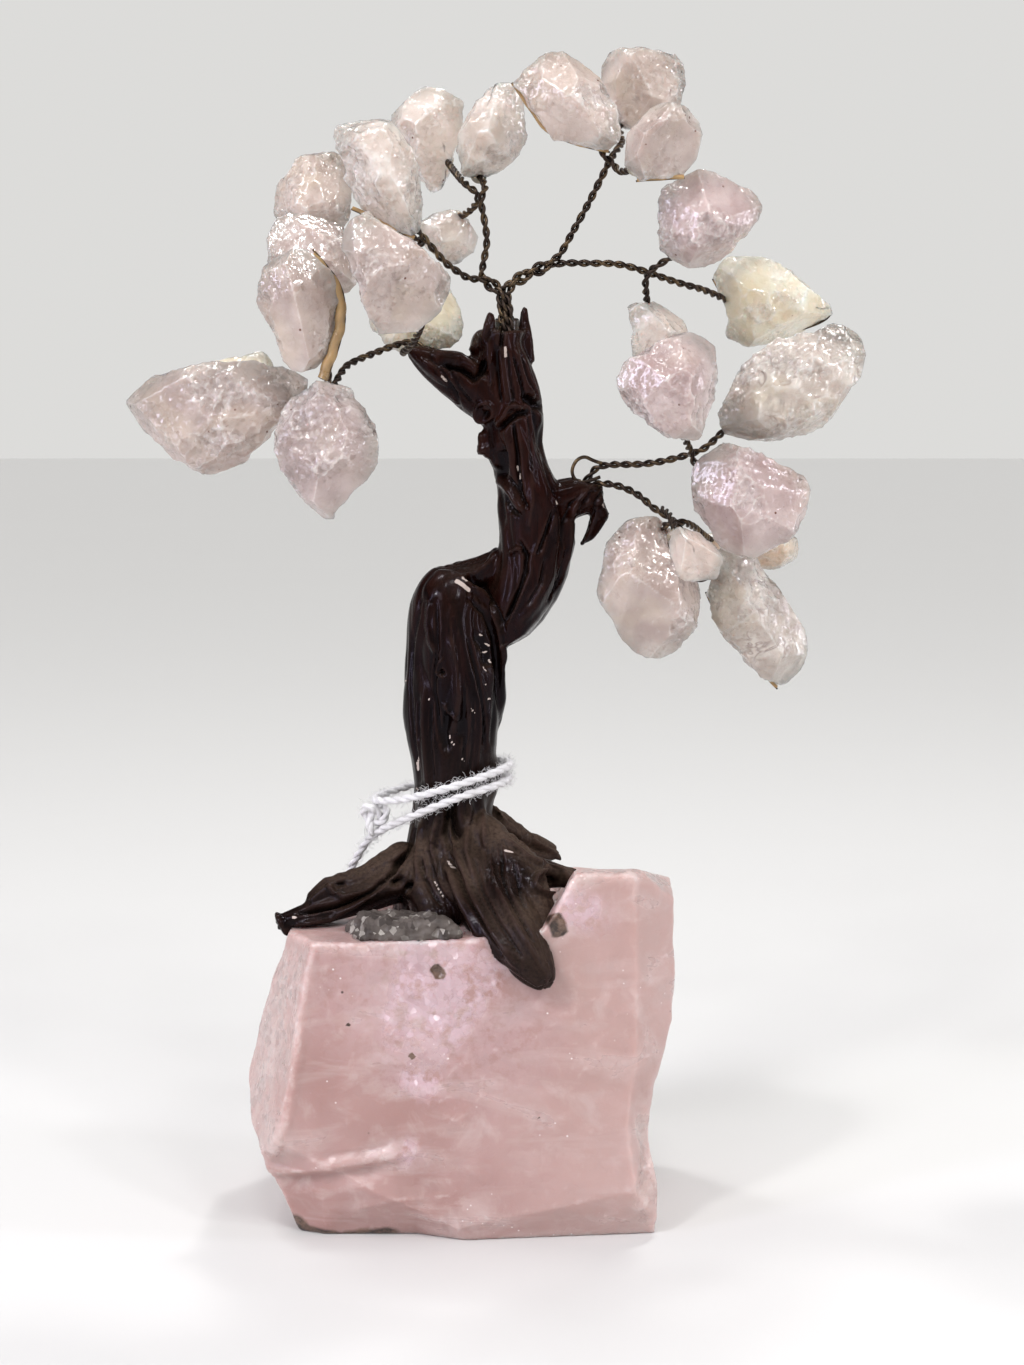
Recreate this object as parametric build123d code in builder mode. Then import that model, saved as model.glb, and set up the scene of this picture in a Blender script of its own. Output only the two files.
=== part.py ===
"""Gemstone tree: rough quartz leaves on twisted wire twigs, a lacquered trunk and a rose quartz base."""

from build123d import *
import math
import os

os.makedirs("parts", exist_ok=True)

# Base stone: a broken chunk that stands on a flat sawn face, with a low shelf and a higher right shoulder
BASE_WIDTH = 85.0
BASE_DEPTH = 52.0
SHELF_HEIGHT = 60.0
PEAK_HEIGHT = 73.0

# Trunk: flowing limbs that grow together, seated on the stone's shelf
TRUNK_HEIGHT = 120.0
ROOT_SPREAD = 60.0
WAIST_WIDTH = 16.0
FLUTE_DEPTH = 0.7
PUTTY_WIDTH = 25.0
PUTTY_HEIGHT = 3.2

# Crown: the stones sit around the hole in the trunk's top, where the wires come out, a little below the
# spikes of bark beside it
SOCKET_OFFSET = 9.8
SOCKET_DROP = 1.0
CROWN_REACH = 75.0
LEAF_SIZE = 20.0

# Wire: every twig is a pair twisted from one thin wire, which runs singly round the back of its stone
WIRE_DIAMETER = 0.7
TWIG_DIAMETER = 1.4
BED_CLEARANCE = 0.1
WIDEST_BEND = 40.0
LEAF_GLUE_DIAMETER = 3.4
SOCKET_GLUE_DIAMETER = 4.8
SOCKET_GLUE_HEIGHT = 2.6
SOCKET_GLUE_ROUNDING = 0.5

# Tag string: twine tied twice round the trunk's waist, with one tail down behind the left root
STRING_DIAMETER = 1.5
STRING_MARKS = 400
STRING_MARKS_APART = 16

# An arc takes this share of the shorter of the two runs that it joins
ARC_SHARE = 0.45

SOCKET = Vector(SOCKET_OFFSET, 0, SHELF_HEIGHT + TRUNK_HEIGHT - SOCKET_DROP)

# Base stone's broken faces: the direction that each one faces, then a place that it passes through, right
# and back as shares of half the width and half the depth, and up as a share of the peak's height
BASE_FACE_SHARES = [
    ((0.02, -1.00, 0.04), (0.00, -0.98, 0.40)),
    ((-0.88, -0.44, 0.19), (-0.82, -0.92, 0.38)),
    ((-0.95, 0.05, 0.30), (-1.00, 0.00, 0.39)),
    ((-0.92, 0.05, -0.38), (-1.00, 0.00, 0.39)),
    ((-0.30, -0.75, -0.58), (-0.60, -0.96, 0.20)),
    ((0.10, -0.90, -0.42), (0.40, -0.98, 0.08)),
    ((0.75, -0.65, 0.05), (0.92, -0.78, 0.50)),
    ((1.00, 0.04, -0.06), (0.97, 0.00, 0.60)),
    ((0.72, 0.66, 0.16), (0.86, 0.72, 0.50)),
    ((0.06, 1.00, 0.12), (0.10, 0.97, 0.45)),
    ((0.05, 0.80, -0.60), (0.00, 0.97, 0.16)),
    ((-0.62, 0.76, 0.16), (-0.72, 0.80, 0.40)),
    ((0.30, 0.55, 0.78), (0.50, 0.55, 1.00)),
    ((0.70, -0.30, 0.62), (0.97, -0.40, 0.97)),
    ((-0.30, 0.62, 0.72), (-0.40, 0.70, 0.80)),
]

# The shelf's line seen from the front, right as shares of half the width and up as shares of the step
SHELF_LINE_SHARES = [(-1.20, -0.05), (0.06, 0.02), (0.40, 0.16), (0.54, 0.98), (0.58, 1.20), (-1.20, 1.20)]

# Putty between the left root and the front root: its plan right and back, as shares of its width
PUTTY_PLAN_SHARES = [
    (-0.98, -0.54), (-0.60, -0.48), (-0.30, -0.56), (-0.06, -0.62), (0.02, -0.74), (0.16, -0.96), (-0.34, -1.00),
    (-0.84, -0.92),
]
PUTTY_TOP_SHARE = 0.62

# Trunk's limbs. Each station is its place right, back and up, and its half width and half depth: right and
# back as shares of the root spread, up from the shelf as a share of the trunk's height, and the half width
# and half depth as shares of the waist's width
LIMB_STATION_SHARES = {
    "waist": [(-0.02, 0.00, -0.03, 0.76, 0.75), (-0.01, 0.00, 0.06, 0.69, 0.75), (-0.01, 0.00, 0.12, 0.59, 0.66),
              (-0.02, 0.00, 0.19, 0.50, 0.56), (-0.01, 0.00, 0.24, 0.55, 0.59), (-0.01, 0.00, 0.33, 0.63, 0.62),
              (-0.01, 0.00, 0.41, 0.62, 0.62), (-0.02, 0.00, 0.49, 0.57, 0.59), (-0.03, 0.00, 0.55, 0.42, 0.50),
              (-0.02, 0.00, 0.58, 0.20, 0.28)],
    "upper trunk": [(0.07, 0.05, 0.31, 0.30, 0.31), (0.13, 0.05, 0.38, 0.40, 0.41), (0.18, 0.05, 0.46, 0.50, 0.50),
                    (0.22, 0.03, 0.54, 0.52, 0.53), (0.26, 0.02, 0.62, 0.48, 0.50), (0.24, 0.00, 0.70, 0.40, 0.47),
                    (0.21, 0.00, 0.76, 0.33, 0.41), (0.18, 0.00, 0.83, 0.37, 0.41), (0.17, 0.00, 0.88, 0.37, 0.41),
                    (0.15, 0.00, 0.92, 0.34, 0.38), (0.15, 0.00, 0.97, 0.29, 0.34)],
    "left stub": [(0.14, 0.00, 0.85, 0.34, 0.38), (0.03, 0.00, 0.89, 0.32, 0.36), (-0.06, 0.00, 0.91, 0.20, 0.28),
                  (-0.15, 0.00, 0.94, 0.07, 0.14)],
    "right stub": [(0.26, 0.00, 0.68, 0.32, 0.36), (0.39, 0.00, 0.70, 0.25, 0.30), (0.48, 0.00, 0.70, 0.14, 0.20)],
    "right hook": [(0.43, 0.00, 0.71, 0.14, 0.20), (0.47, 0.00, 0.67, 0.11, 0.16), (0.44, 0.00, 0.64, 0.07, 0.12),
                   (0.41, 0.00, 0.62, 0.04, 0.07)],
    "left spike": [(0.10, -0.06, 0.92, 0.12, 0.14), (0.11, -0.06, 1.00, 0.03, 0.04)],
    "right spike": [(0.22, 0.04, 0.92, 0.14, 0.15), (0.22, 0.04, 1.01, 0.03, 0.04)],
    "left root": [(-0.05, 0.00, 0.11, 0.35, 0.44), (-0.13, -0.05, 0.08, 0.30, 0.40), (-0.24, -0.10, 0.06, 0.25, 0.34),
                  (-0.39, -0.13, 0.03, 0.20, 0.27), (-0.52, -0.15, 0.01, 0.14, 0.20), (-0.60, -0.15, 0.00, 0.09, 0.12)],
    "front root": [(0.02, -0.07, 0.11, 0.42, 0.48), (0.08, -0.18, 0.06, 0.43, 0.48), (0.17, -0.32, 0.01, 0.39, 0.42),
                   (0.24, -0.42, -0.03, 0.28, 0.32), (0.29, -0.48, -0.06, 0.12, 0.16)],
    "right root": [(0.07, 0.00, 0.13, 0.38, 0.42), (0.19, 0.00, 0.10, 0.30, 0.36), (0.29, -0.02, 0.10, 0.19, 0.26),
                   (0.39, -0.03, 0.10, 0.09, 0.14)],
    "back right root": [(0.09, 0.08, 0.15, 0.30, 0.36), (0.19, 0.19, 0.13, 0.27, 0.32), (0.29, 0.27, 0.12, 0.21, 0.26),
                        (0.37, 0.32, 0.11, 0.10, 0.14)],
    "back left root": [(-0.06, 0.07, 0.10, 0.33, 0.42), (-0.17, 0.18, 0.05, 0.28, 0.34), (-0.25, 0.27, 0.02, 0.21, 0.26),
                       (-0.31, 0.33, 0.00, 0.10, 0.14)],
    "back root": [(0.01, 0.10, 0.10, 0.33, 0.42), (0.02, 0.21, 0.05, 0.30, 0.36), (0.02, 0.30, 0.02, 0.21, 0.26),
                  (0.01, 0.37, 0.00, 0.10, 0.14)],
}
SMOOTH_LIMBS = ("waist", "upper trunk", "left stub", "left root", "front root")
FLUTES = 3
FLUTE_POINTS = 12
FLUTE_TURN_SHARE = 0.09

# Leaf stones: the middle's place right, back and up from the socket as shares of the crown's reach; width,
# height and thickness as shares of a leaf's size; how far the front facet drifts right and up, as shares of
# half the width and height; then the outline, as shares of half the width and height from the middle
LEAF_SHARES = {
    1: ((-0.75, -0.12, -0.27), (1.70, 0.99, 0.50), (0.10, 0.20),
        [(-1.00, 0.34), (-0.90, 0.75), (-0.70, 0.88), (0.42, 1.00), (1.00, 0.73), (0.79, 0.25), (0.28, -0.80),
         (0.08, -1.00), (-0.48, -0.61), (-0.99, 0.01)]),
    2: ((-0.72, 0.12, -0.16), (0.94, 0.46, 0.50), (0.00, 0.10),
        [(-1.00, -0.35), (-0.70, 0.49), (-0.31, 0.86), (0.54, 1.00), (0.83, 0.49), (1.00, -0.21), (0.70, -1.00),
         (-0.69, -1.00)]),
    3: ((-0.46, -0.31, -0.32), (0.92, 1.25, 0.55), (0.15, -0.10),
        [(-0.68, 0.70), (-0.09, 0.90), (0.42, 1.00), (1.00, 0.36), (0.95, -0.24), (0.48, -0.68), (-0.04, -1.00),
         (-0.38, -0.76), (-1.00, -0.03)]),
    4: ((-0.52, -0.29, 0.00), (0.78, 1.12, 0.55), (-0.10, 0.15),
        [(-0.82, 0.77), (0.32, 1.00), (0.77, 0.65), (1.00, 0.33), (0.99, -0.27), (0.53, -1.00), (-0.19, -0.87),
         (-0.77, -0.09), (-1.00, 0.28)]),
    5: ((-0.50, -0.05, 0.16), (0.82, 0.88, 0.55), (0.10, 0.10),
        [(-0.92, 0.44), (-0.77, 0.72), (0.17, 1.00), (0.68, 0.63), (1.00, 0.09), (0.99, -0.54), (0.66, -0.96),
         (-0.35, -1.00), (-1.00, -0.45)]),
    6: ((-0.53, 0.27, 0.33), (0.79, 0.78, 0.60), (-0.10, 0.10),
        [(-1.00, 0.22), (-0.48, 0.52), (-0.35, 0.85), (0.55, 1.00), (0.91, 0.65), (1.00, -0.24), (0.87, -0.80),
         (-0.04, -1.00), (-0.94, -0.75)]),
    7: ((-0.26, -0.35, 0.10), (1.00, 1.08, 0.60), (-0.15, 0.05),
        [(-1.00, 0.63), (-0.55, 1.00), (-0.11, 0.78), (0.89, 0.09), (1.00, -0.15), (0.78, -0.59), (0.31, -1.00),
         (-0.34, -0.97), (-0.80, 0.09)]),
    8: ((-0.25, 0.07, 0.04), (0.95, 0.84, 0.60), (0.10, -0.10),
        [(-1.00, 0.38), (-0.52, 0.91), (0.20, 1.00), (0.78, 0.61), (1.00, -0.26), (0.92, -0.70), (0.40, -1.00),
         (-0.47, -0.98), (-0.84, -0.47)]),
    9: ((-0.32, -0.11, 0.35), (0.81, 1.08, 0.60), (0.05, 0.15),
        [(-1.00, 0.78), (-0.08, 1.00), (0.42, 0.86), (0.63, 0.45), (0.98, -0.11), (1.00, -0.91), (0.76, -1.00),
         (-0.68, -0.49)]),
    10: ((-0.15, 0.19, 0.21), (0.62, 0.64, 0.45), (0.00, 0.10),
         [(-0.93, 0.48), (-0.54, 0.91), (-0.16, 1.00), (0.58, 0.57), (1.00, -0.04), (0.22, -1.00), (-1.00, -0.23)]),
    11: ((-0.22, 0.32, 0.47), (0.73, 1.01, 0.60), (0.10, 0.10),
         [(-1.00, 0.63), (-0.36, 0.88), (0.31, 1.00), (1.00, 0.72), (0.97, 0.25), (0.38, -1.00), (-0.07, -0.84),
          (-0.89, 0.25)]),
    12: ((-0.04, 0.08, 0.47), (0.69, 0.98, 0.60), (0.10, 0.15),
         [(0.09, 1.00), (0.71, 0.92), (1.00, 0.57), (1.00, -0.06), (0.49, -0.65), (-0.23, -1.00), (-0.69, -0.86),
          (-1.00, -0.25), (-0.86, 0.24)]),
    13: ((0.15, -0.08, 0.54), (0.98, 0.86, 0.60), (0.10, 0.15),
         [(-1.00, 0.44), (-0.48, 0.98), (0.03, 1.00), (0.53, 0.81), (0.80, 0.33), (1.00, -0.59), (0.83, -1.00),
          (-0.24, -0.78), (-0.65, -0.15)]),
    14: ((0.36, 0.16, 0.59), (0.91, 0.74, 0.60), (-0.05, 0.10),
         [(-1.00, 0.63), (-0.70, 0.92), (0.71, 1.00), (0.99, 0.53), (1.00, -0.10), (0.79, -0.63), (0.14, -0.95),
          (-0.52, -1.00), (-0.80, -0.42)]),
    15: ((0.39, -0.24, 0.43), (0.77, 0.65, 0.55), (0.10, 0.10),
         [(-1.00, -0.12), (-0.83, 0.52), (-0.16, 1.00), (0.49, 0.89), (1.00, 0.52), (0.99, -0.60), (0.50, -0.92),
          (-0.61, -1.00), (-1.00, -0.66)]),
    16: ((0.52, -0.11, 0.24), (0.96, 0.95, 0.60), (-0.15, 0.05),
         [(-1.00, 0.37), (-0.76, 0.82), (-0.19, 1.00), (1.00, 0.47), (0.95, 0.03), (0.41, -0.56), (-0.15, -1.00),
          (-0.51, -0.92), (-0.95, -0.52)]),
    17: ((0.74, 0.21, 0.04), (1.34, 0.87, 0.50), (-0.10, 0.00),
         [(-1.00, 0.54), (-0.78, 1.00), (-0.20, 1.00), (0.56, 0.08), (1.00, -0.17), (0.78, -0.58), (-0.28, -1.00),
          (-0.85, -0.86), (-0.72, -0.33), (-0.86, 0.13)]),
    18: ((0.74, -0.05, -0.17), (1.33, 1.04, 0.60), (0.00, 0.05),
         [(-0.73, 0.34), (-0.25, 0.72), (0.52, 1.00), (1.00, 1.00), (0.95, 0.30), (0.70, -0.31), (0.43, -0.78),
          (-0.38, -1.00), (-0.95, -0.98), (-1.00, -0.55)]),
    19: ((0.41, -0.29, -0.17), (0.98, 0.96, 0.60), (0.10, 0.00),
         [(-0.74, 0.52), (0.02, 0.86), (0.38, 1.00), (0.84, 0.77), (1.00, 0.09), (0.78, -0.43), (0.46, -1.00),
          (-0.04, -0.94), (-1.00, -0.30), (-0.85, 0.26)]),
    20: ((0.41, 0.05, -0.06), (0.65, 0.69, 0.55), (0.00, 0.10),
         [(-1.00, 0.97), (-0.04, 1.00), (0.69, 0.63), (1.00, 0.07), (0.83, -0.63), (-0.02, -1.00), (-0.81, -0.83)]),
    21: ((0.63, -0.16, -0.46), (1.17, 1.10, 0.60), (-0.15, 0.10),
         [(-0.84, 0.74), (-0.47, 1.00), (1.00, 0.35), (0.73, -0.58), (0.01, -1.00), (-0.40, -0.79),
          (-1.00, -0.14)]),
    22: ((0.66, 0.16, -0.62), (1.07, 0.48, 0.45), (0.10, 0.00),
         [(-1.00, 0.67), (-0.54, 1.00), (0.81, 0.76), (1.00, 0.38), (0.95, -0.57), (0.42, -1.00), (-0.73, 0.05)]),
    23: ((0.38, -0.08, -0.68), (1.02, 1.30, 0.60), (-0.10, -0.10),
         [(-0.81, 0.55), (-0.57, 0.89), (-0.20, 1.00), (0.72, 0.56), (1.00, -0.15), (0.89, -0.53), (0.30, -1.00),
          (-0.26, -0.91), (-1.00, -0.09)]),
    24: ((0.47, -0.32, -0.60), (0.57, 0.60, 0.45), (0.00, 0.10),
         [(-1.00, 0.56), (-0.47, 1.00), (0.43, 0.75), (1.00, 0.14), (0.81, -0.68), (0.31, -1.00), (-0.46, -0.59)]),
    25: ((0.67, 0.05, -0.80), (0.99, 1.38, 0.60), (-0.05, 0.10),
         [(-0.69, 0.99), (-0.18, 1.00), (0.50, 0.49), (1.00, -0.21), (0.99, -0.71), (0.79, -1.00), (0.41, -0.97),
          (-0.75, -0.12), (-1.00, 0.39)]),
}

# Outline's sections from a leaf's front to its back: depth as a share of the thickness, and size as a share
FRONT_SHARES = (-0.50, 0.48)
SHOULDER_SHARES = (-0.27, 0.86)
GIRDLE_SHARES = (0.00, 1.00)
BACK_SHARES = (0.50, 0.56)
HOOP_SHARE = 0.45

# Two chips break each stone's front: the way each faces, and its bite as a share of the thickness. Stones
# take them in turn from this list, so neighbours differ
CHIPS_PER_STONE = 2
CHIP_STRIDE = 2
CHIP_SHARES = [
    ((0.55, -0.70, 0.45), 0.24), ((-0.60, -0.65, -0.35), 0.20), ((0.25, -0.75, -0.60), 0.22),
    ((-0.45, -0.80, 0.40), 0.18), ((0.70, -0.60, -0.10), 0.26),
]

# Crown wires leave the socket together; the arm wires leave the trunk's two stubs. Each lists its places
# from the socket as shares of the crown's reach, the leaf it carries and the corner of that leaf's outline
# where it meets the hoop
MAIN_WIRE_SHARES = {
    "crown_wire_1": ([(0.01, -0.01, -0.14), (0.01, -0.01, -0.02), (-0.01, -0.01, 0.05), (0.02, -0.01, 0.09),
                      (0.07, -0.02, 0.12), (0.14, -0.03, 0.15), (0.17, -0.03, 0.22), (0.21, -0.03, 0.29),
                      (0.25, -0.04, 0.37), (0.27, -0.03, 0.41), (0.30, 0.04, 0.45), (0.30, 0.14, 0.47)], 14, 7),
    "crown_wire_2": ([(0.01, 0.01, -0.14), (0.01, 0.01, -0.02), (-0.01, 0.01, 0.05), (0.02, 0.01, 0.09),
                      (0.07, 0.00, 0.12), (0.14, -0.01, 0.15), (0.22, -0.02, 0.14), (0.29, -0.01, 0.14),
                      (0.36, 0.00, 0.12), (0.45, 0.05, 0.09), (0.54, 0.11, 0.07)], 17, 8),
    "crown_wire_3": ([(-0.01, 0.01, -0.14), (-0.01, 0.01, -0.02), (-0.03, 0.01, 0.05), (-0.05, 0.02, 0.09),
                      (-0.07, 0.03, 0.11), (-0.06, 0.04, 0.15), (-0.05, 0.04, 0.20), (-0.06, 0.04, 0.26),
                      (-0.07, 0.04, 0.31), (-0.05, 0.05, 0.34)], 12, 5),
    "crown_wire_4": ([(-0.01, -0.01, -0.14), (-0.01, -0.01, -0.02), (-0.03, -0.01, 0.05), (-0.06, -0.01, 0.08),
                      (-0.10, -0.01, 0.09), (-0.13, -0.03, 0.12), (-0.16, -0.05, 0.14), (-0.21, -0.08, 0.20)], 9, 5),
    "left_arm_wire": ([(-0.12, 0.01, -0.12), (-0.19, 0.00, -0.09), (-0.25, 0.00, -0.06), (-0.29, -0.04, -0.07),
                       (-0.34, -0.08, -0.09), (-0.39, -0.13, -0.11), (-0.42, -0.19, -0.13)], 3, 1),
    "right_arm_wire_upper": ([(0.14, 0.01, -0.46), (0.21, 0.01, -0.43), (0.23, 0.01, -0.39), (0.27, -0.01, -0.38),
                              (0.35, -0.03, -0.38), (0.41, -0.05, -0.37), (0.48, -0.07, -0.35),
                              (0.53, -0.07, -0.33)], 18, 8),
    "right_arm_wire_lower": ([(0.14, -0.01, -0.46), (0.20, -0.01, -0.44), (0.24, -0.01, -0.43), (0.27, -0.03, -0.43),
                              (0.31, -0.04, -0.44), (0.35, -0.07, -0.46), (0.38, -0.09, -0.49), (0.42, -0.11, -0.51),
                              (0.45, -0.11, -0.54), (0.50, -0.08, -0.63)], 25, 8),
}

# Cross wires carry a leaf at each end and are twisted on to a main wire between them: first the leaf and
# the corner where each starts, then its places, then the leaf and the corner where it ends
CROSS_WIRE_SHARES = {
    "cross_wire_1": ((13, 5), [(0.24, -0.05, 0.41), (0.27, -0.05, 0.40), (0.29, -0.08, 0.36)], (15, 7)),
    "cross_wire_2": ((16, 7), [(0.38, -0.05, 0.13), (0.36, -0.02, 0.11), (0.36, 0.00, 0.07)], (20, 0)),
    "cross_wire_3": ((11, 4), [(-0.13, 0.13, 0.37), (-0.10, 0.08, 0.34), (-0.07, 0.06, 0.32), (-0.09, 0.11, 0.28)],
                     (10, 2)),
    "cross_wire_4": ((6, 6), [(-0.45, 0.23, 0.19), (-0.35, 0.11, 0.22), (-0.28, 0.00, 0.21), (-0.20, -0.06, 0.20),
                              (-0.27, -0.08, 0.15), (-0.34, -0.06, 0.13)], (5, 4)),
    "cross_wire_5": ((4, 4), [(-0.45, -0.21, -0.13), (-0.46, -0.13, -0.18), (-0.51, -0.08, -0.21)], (1, 4)),
    "cross_wire_6": ((7, 5), [(-0.23, -0.19, -0.06), (-0.27, -0.06, -0.09), (-0.27, 0.02, -0.09)], (8, 6)),
    "cross_wire_7": ((19, 6), [(0.47, -0.13, -0.33), (0.48, -0.09, -0.36), (0.49, -0.11, -0.38)], (21, 0)),
    "cross_wire_8": ((23, 2), [(0.40, -0.10, -0.53), (0.45, -0.13, -0.52), (0.49, -0.05, -0.54),
                               (0.52, 0.05, -0.57)], (22, 6)),
}

# Side twigs are twisted on to another twig at their first place
SIDE_TWIG_SHARES = {
    "side_twig_1": ([(-0.50, -0.08, -0.19), (-0.57, 0.00, -0.19)], 2, 5),
    "side_twig_2": ([(0.40, -0.12, -0.49), (0.43, -0.20, -0.50)], 24, 0),
}

# Tag string's route, as one list of chosen points: its start is tucked in behind the trunk, it goes round
# the right side, the front, the left and the back, round again, and its tail hangs down behind the left root
STRING_ROUTE = [
    (-3.0, 11.6, 88.5), (6.6, 10.4, 89.6), (11.6, 3.4, 90.4), (10.6, -6.4, 90.8), (3.4, -12.2, 89.3),
    (-6.0, -11.4, 86.4), (-13.4, -7.0, 84.2), (-18.3, -0.4, 83.2), (-14.2, 6.4, 83.7), (-7.2, 11.3, 84.9),
    (2.6, 12.4, 86.2), (10.2, 8.0, 87.2), (12.4, -0.9, 87.9), (9.0, -9.2, 87.8), (0.6, -13.0, 85.7),
    (-7.6, -10.6, 82.4), (-13.6, -6.2, 79.2), (-18.0, -1.0, 76.2), (-20.4, 2.2, 71.4), (-23.0, 4.0, 66.4),
    (-26.4, 7.6, 62.6), (-30.0, 11.0, 61.6),
]


def base_place(shares):
    """A place on the base stone, from its shares."""
    right, back, up = shares
    return Vector(right * BASE_WIDTH / 2, back * BASE_DEPTH / 2, up * PEAK_HEIGHT)


def from_socket(shares):
    """A place in the crown, from its shares of the crown's reach."""
    right, back, up = shares
    return SOCKET + Vector(right, back, up) * CROWN_REACH


def between(low, high, share):
    """The value at that share of the way from low to high."""
    return low + (high - low) * share


def leaf_size(number):
    """A leaf stone's width, height and thickness."""
    size_shares = LEAF_SHARES[number][1]
    return [share * LEAF_SIZE for share in size_shares]


def leaf_section(number, depth_share, swell_share):
    """A leaf stone's outline at that depth and size, as places in the part's frame."""
    middle_shares, size_shares, drift_shares, outline_shares = LEAF_SHARES[number]
    width, height, thickness = leaf_size(number)
    ahead = max(0.0, -depth_share)
    middle = from_socket(middle_shares) + Vector(
        drift_shares[0] * width * ahead, depth_share * thickness, drift_shares[1] * height * ahead
    )
    return [
        middle + Vector(right * swell_share * width / 2, 0, up * swell_share * height / 2)
        for right, up in outline_shares
    ]


def hoop_points(number):
    """The corners of the wire hoop that lies on the bevel between a leaf's girdle and its back."""
    depth_share = between(GIRDLE_SHARES[0], BACK_SHARES[0], HOOP_SHARE)
    swell_share = between(GIRDLE_SHARES[1], BACK_SHARES[1], HOOP_SHARE)
    return leaf_section(number, depth_share, swell_share)


def twig_foot(number, corner):
    """Where a twig meets its leaf's hoop: the middle of the straight run that starts at that corner."""
    corners = hoop_points(number)
    return (corners[corner] + corners[(corner + 1) % len(corners)]) / 2


def bend_radii(points, closed=False):
    """The radius at each corner of a bent wire, as large as the two runs beside it allow."""
    corners = list(points)
    if closed:
        corners = [points[-1], *points, points[0]]
    radii = []
    for before, corner, after in zip(corners, corners[1:], corners[2:]):
        shorter_run = min((corner - before).length, (after - corner).length)
        half_turn = math.radians((corner - before).get_angle(after - corner)) / 2
        radii.append(min(ARC_SHARE * shorter_run / math.tan(half_turn), WIDEST_BEND))
    return radii


def centreline(points, closed=False):
    """Straight runs through the places, joined by arcs."""
    with BuildLine() as route:
        FilletPolyline(*points, radius=bend_radii(points, closed), close=closed)
    return route.wire()


def bent_tube(points, diameter, closed=False):
    """A round tube along straight runs joined by arcs."""
    route = centreline(points, closed)
    with BuildPart() as tube:
        with BuildSketch(Plane(origin=route @ 0, z_dir=route % 0)):
            Circle(diameter / 2)
        sweep(path=route)
    return tube.part


def twig_route(name):
    """The places that a wire's twisted part runs through, from end to end."""
    if name in MAIN_WIRE_SHARES:
        place_shares, leaf, corner = MAIN_WIRE_SHARES[name]
        return [*map(from_socket, place_shares), twig_foot(leaf, corner)]
    if name in SIDE_TWIG_SHARES:
        place_shares, leaf, corner = SIDE_TWIG_SHARES[name]
        return [*map(from_socket, place_shares), twig_foot(leaf, corner)]
    first, place_shares, last = CROSS_WIRE_SHARES[name]
    ends = [twig_foot(leaf, corner) for leaf, corner in (first, last)]
    return [ends[0], *map(from_socket, place_shares), ends[1]]


def leaves_of(name):
    """The leaves that a wire carries, each with the corner of its hoop where the twisted part ends."""
    if name in MAIN_WIRE_SHARES:
        return [MAIN_WIRE_SHARES[name][1:]]
    if name in SIDE_TWIG_SHARES:
        return [SIDE_TWIG_SHARES[name][1:]]
    return [CROSS_WIRE_SHARES[name][0], CROSS_WIRE_SHARES[name][-1]]


def limb_section(station, direction, turn):
    """A limb's section: an ellipse with shallow flutes, square to the limb's direction."""
    right, back, up, half_width_share, half_depth_share = station
    half_width = half_width_share * WAIST_WIDTH
    half_depth = half_depth_share * WAIST_WIDTH
    flute = FLUTE_DEPTH / WAIST_WIDTH
    points = []
    for step in range(FLUTE_POINTS):
        angle = math.tau * step / FLUTE_POINTS
        swell = 1 + flute * math.cos(FLUTES * (angle + turn))
        points.append((half_width * swell * math.cos(angle), half_depth * swell * math.sin(angle)))
    plane = Plane(
        origin=limb_place(station), x_dir=Vector(direction.Z, 0, -direction.X), z_dir=direction
    )
    with BuildSketch(plane) as section:
        with BuildLine():
            Spline(*points, periodic=True)
        make_face()
    return section.sketch


def limb_place(station):
    """The middle of a limb's station."""
    return Vector(station[0] * ROOT_SPREAD, station[1] * ROOT_SPREAD, SHELF_HEIGHT + station[2] * TRUNK_HEIGHT)


def limb(name):
    """One limb of the trunk, from its first station to its last."""
    stations = LIMB_STATION_SHARES[name]
    places = [limb_place(station) for station in stations]
    with BuildPart() as grown:
        for index, station in enumerate(stations):
            ahead = places[min(index + 1, len(places) - 1)]
            behind = places[max(index - 1, 0)]
            section = limb_section(station, (ahead - behind).normalized(), index * FLUTE_TURN_SHARE * math.tau)
            add(section)
        loft(ruled=name not in SMOOTH_LIMBS)
    return grown.part


def largest_solid(part):
    """The main solid of a part, without the crumbs that a cut leaves beside it."""
    return part.solids().sort_by(SortBy.VOLUME)[-1]


def finish(solid, name):
    """Name a finished piece and write it."""
    solid.label = name
    export_step(solid, f"parts/{name}.step")
    return solid


# Base stone
with BuildPart() as base_stone:
    Box(BASE_WIDTH, BASE_DEPTH, PEAK_HEIGHT, align=(Align.CENTER, Align.CENTER, Align.MIN))
    for facing_shares, place_shares in BASE_FACE_SHARES:
        split(bisect_by=Plane(origin=base_place(place_shares), z_dir=facing_shares), keep=Keep.BOTTOM)
    with BuildSketch(Plane.XZ):
        with BuildLine():
            Polyline(
                *[
                    (right * BASE_WIDTH / 2, SHELF_HEIGHT + up * (PEAK_HEIGHT - SHELF_HEIGHT))
                    for right, up in SHELF_LINE_SHARES
                ],
                close=True,
            )
        make_face()
    extrude(amount=BASE_DEPTH, both=True, mode=Mode.SUBTRACT)
finish(base_stone.part, "base_stone")

# Wires: every twig's tube and every leaf's hoop, then the clearance that each needs in what holds it
wire_names = [*MAIN_WIRE_SHARES, *CROSS_WIRE_SHARES, *SIDE_TWIG_SHARES]
twigs = {name: bent_tube(twig_route(name), TWIG_DIAMETER) for name in wire_names}
twig_beds = {name: bent_tube(twig_route(name), TWIG_DIAMETER + 2 * BED_CLEARANCE) for name in wire_names}
hoops = {number: bent_tube(hoop_points(number), WIRE_DIAMETER, closed=True) for number in LEAF_SHARES}
hoop_beds = {
    number: bent_tube(hoop_points(number), WIRE_DIAMETER + 2 * BED_CLEARANCE, closed=True)
    for number in LEAF_SHARES
}

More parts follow.
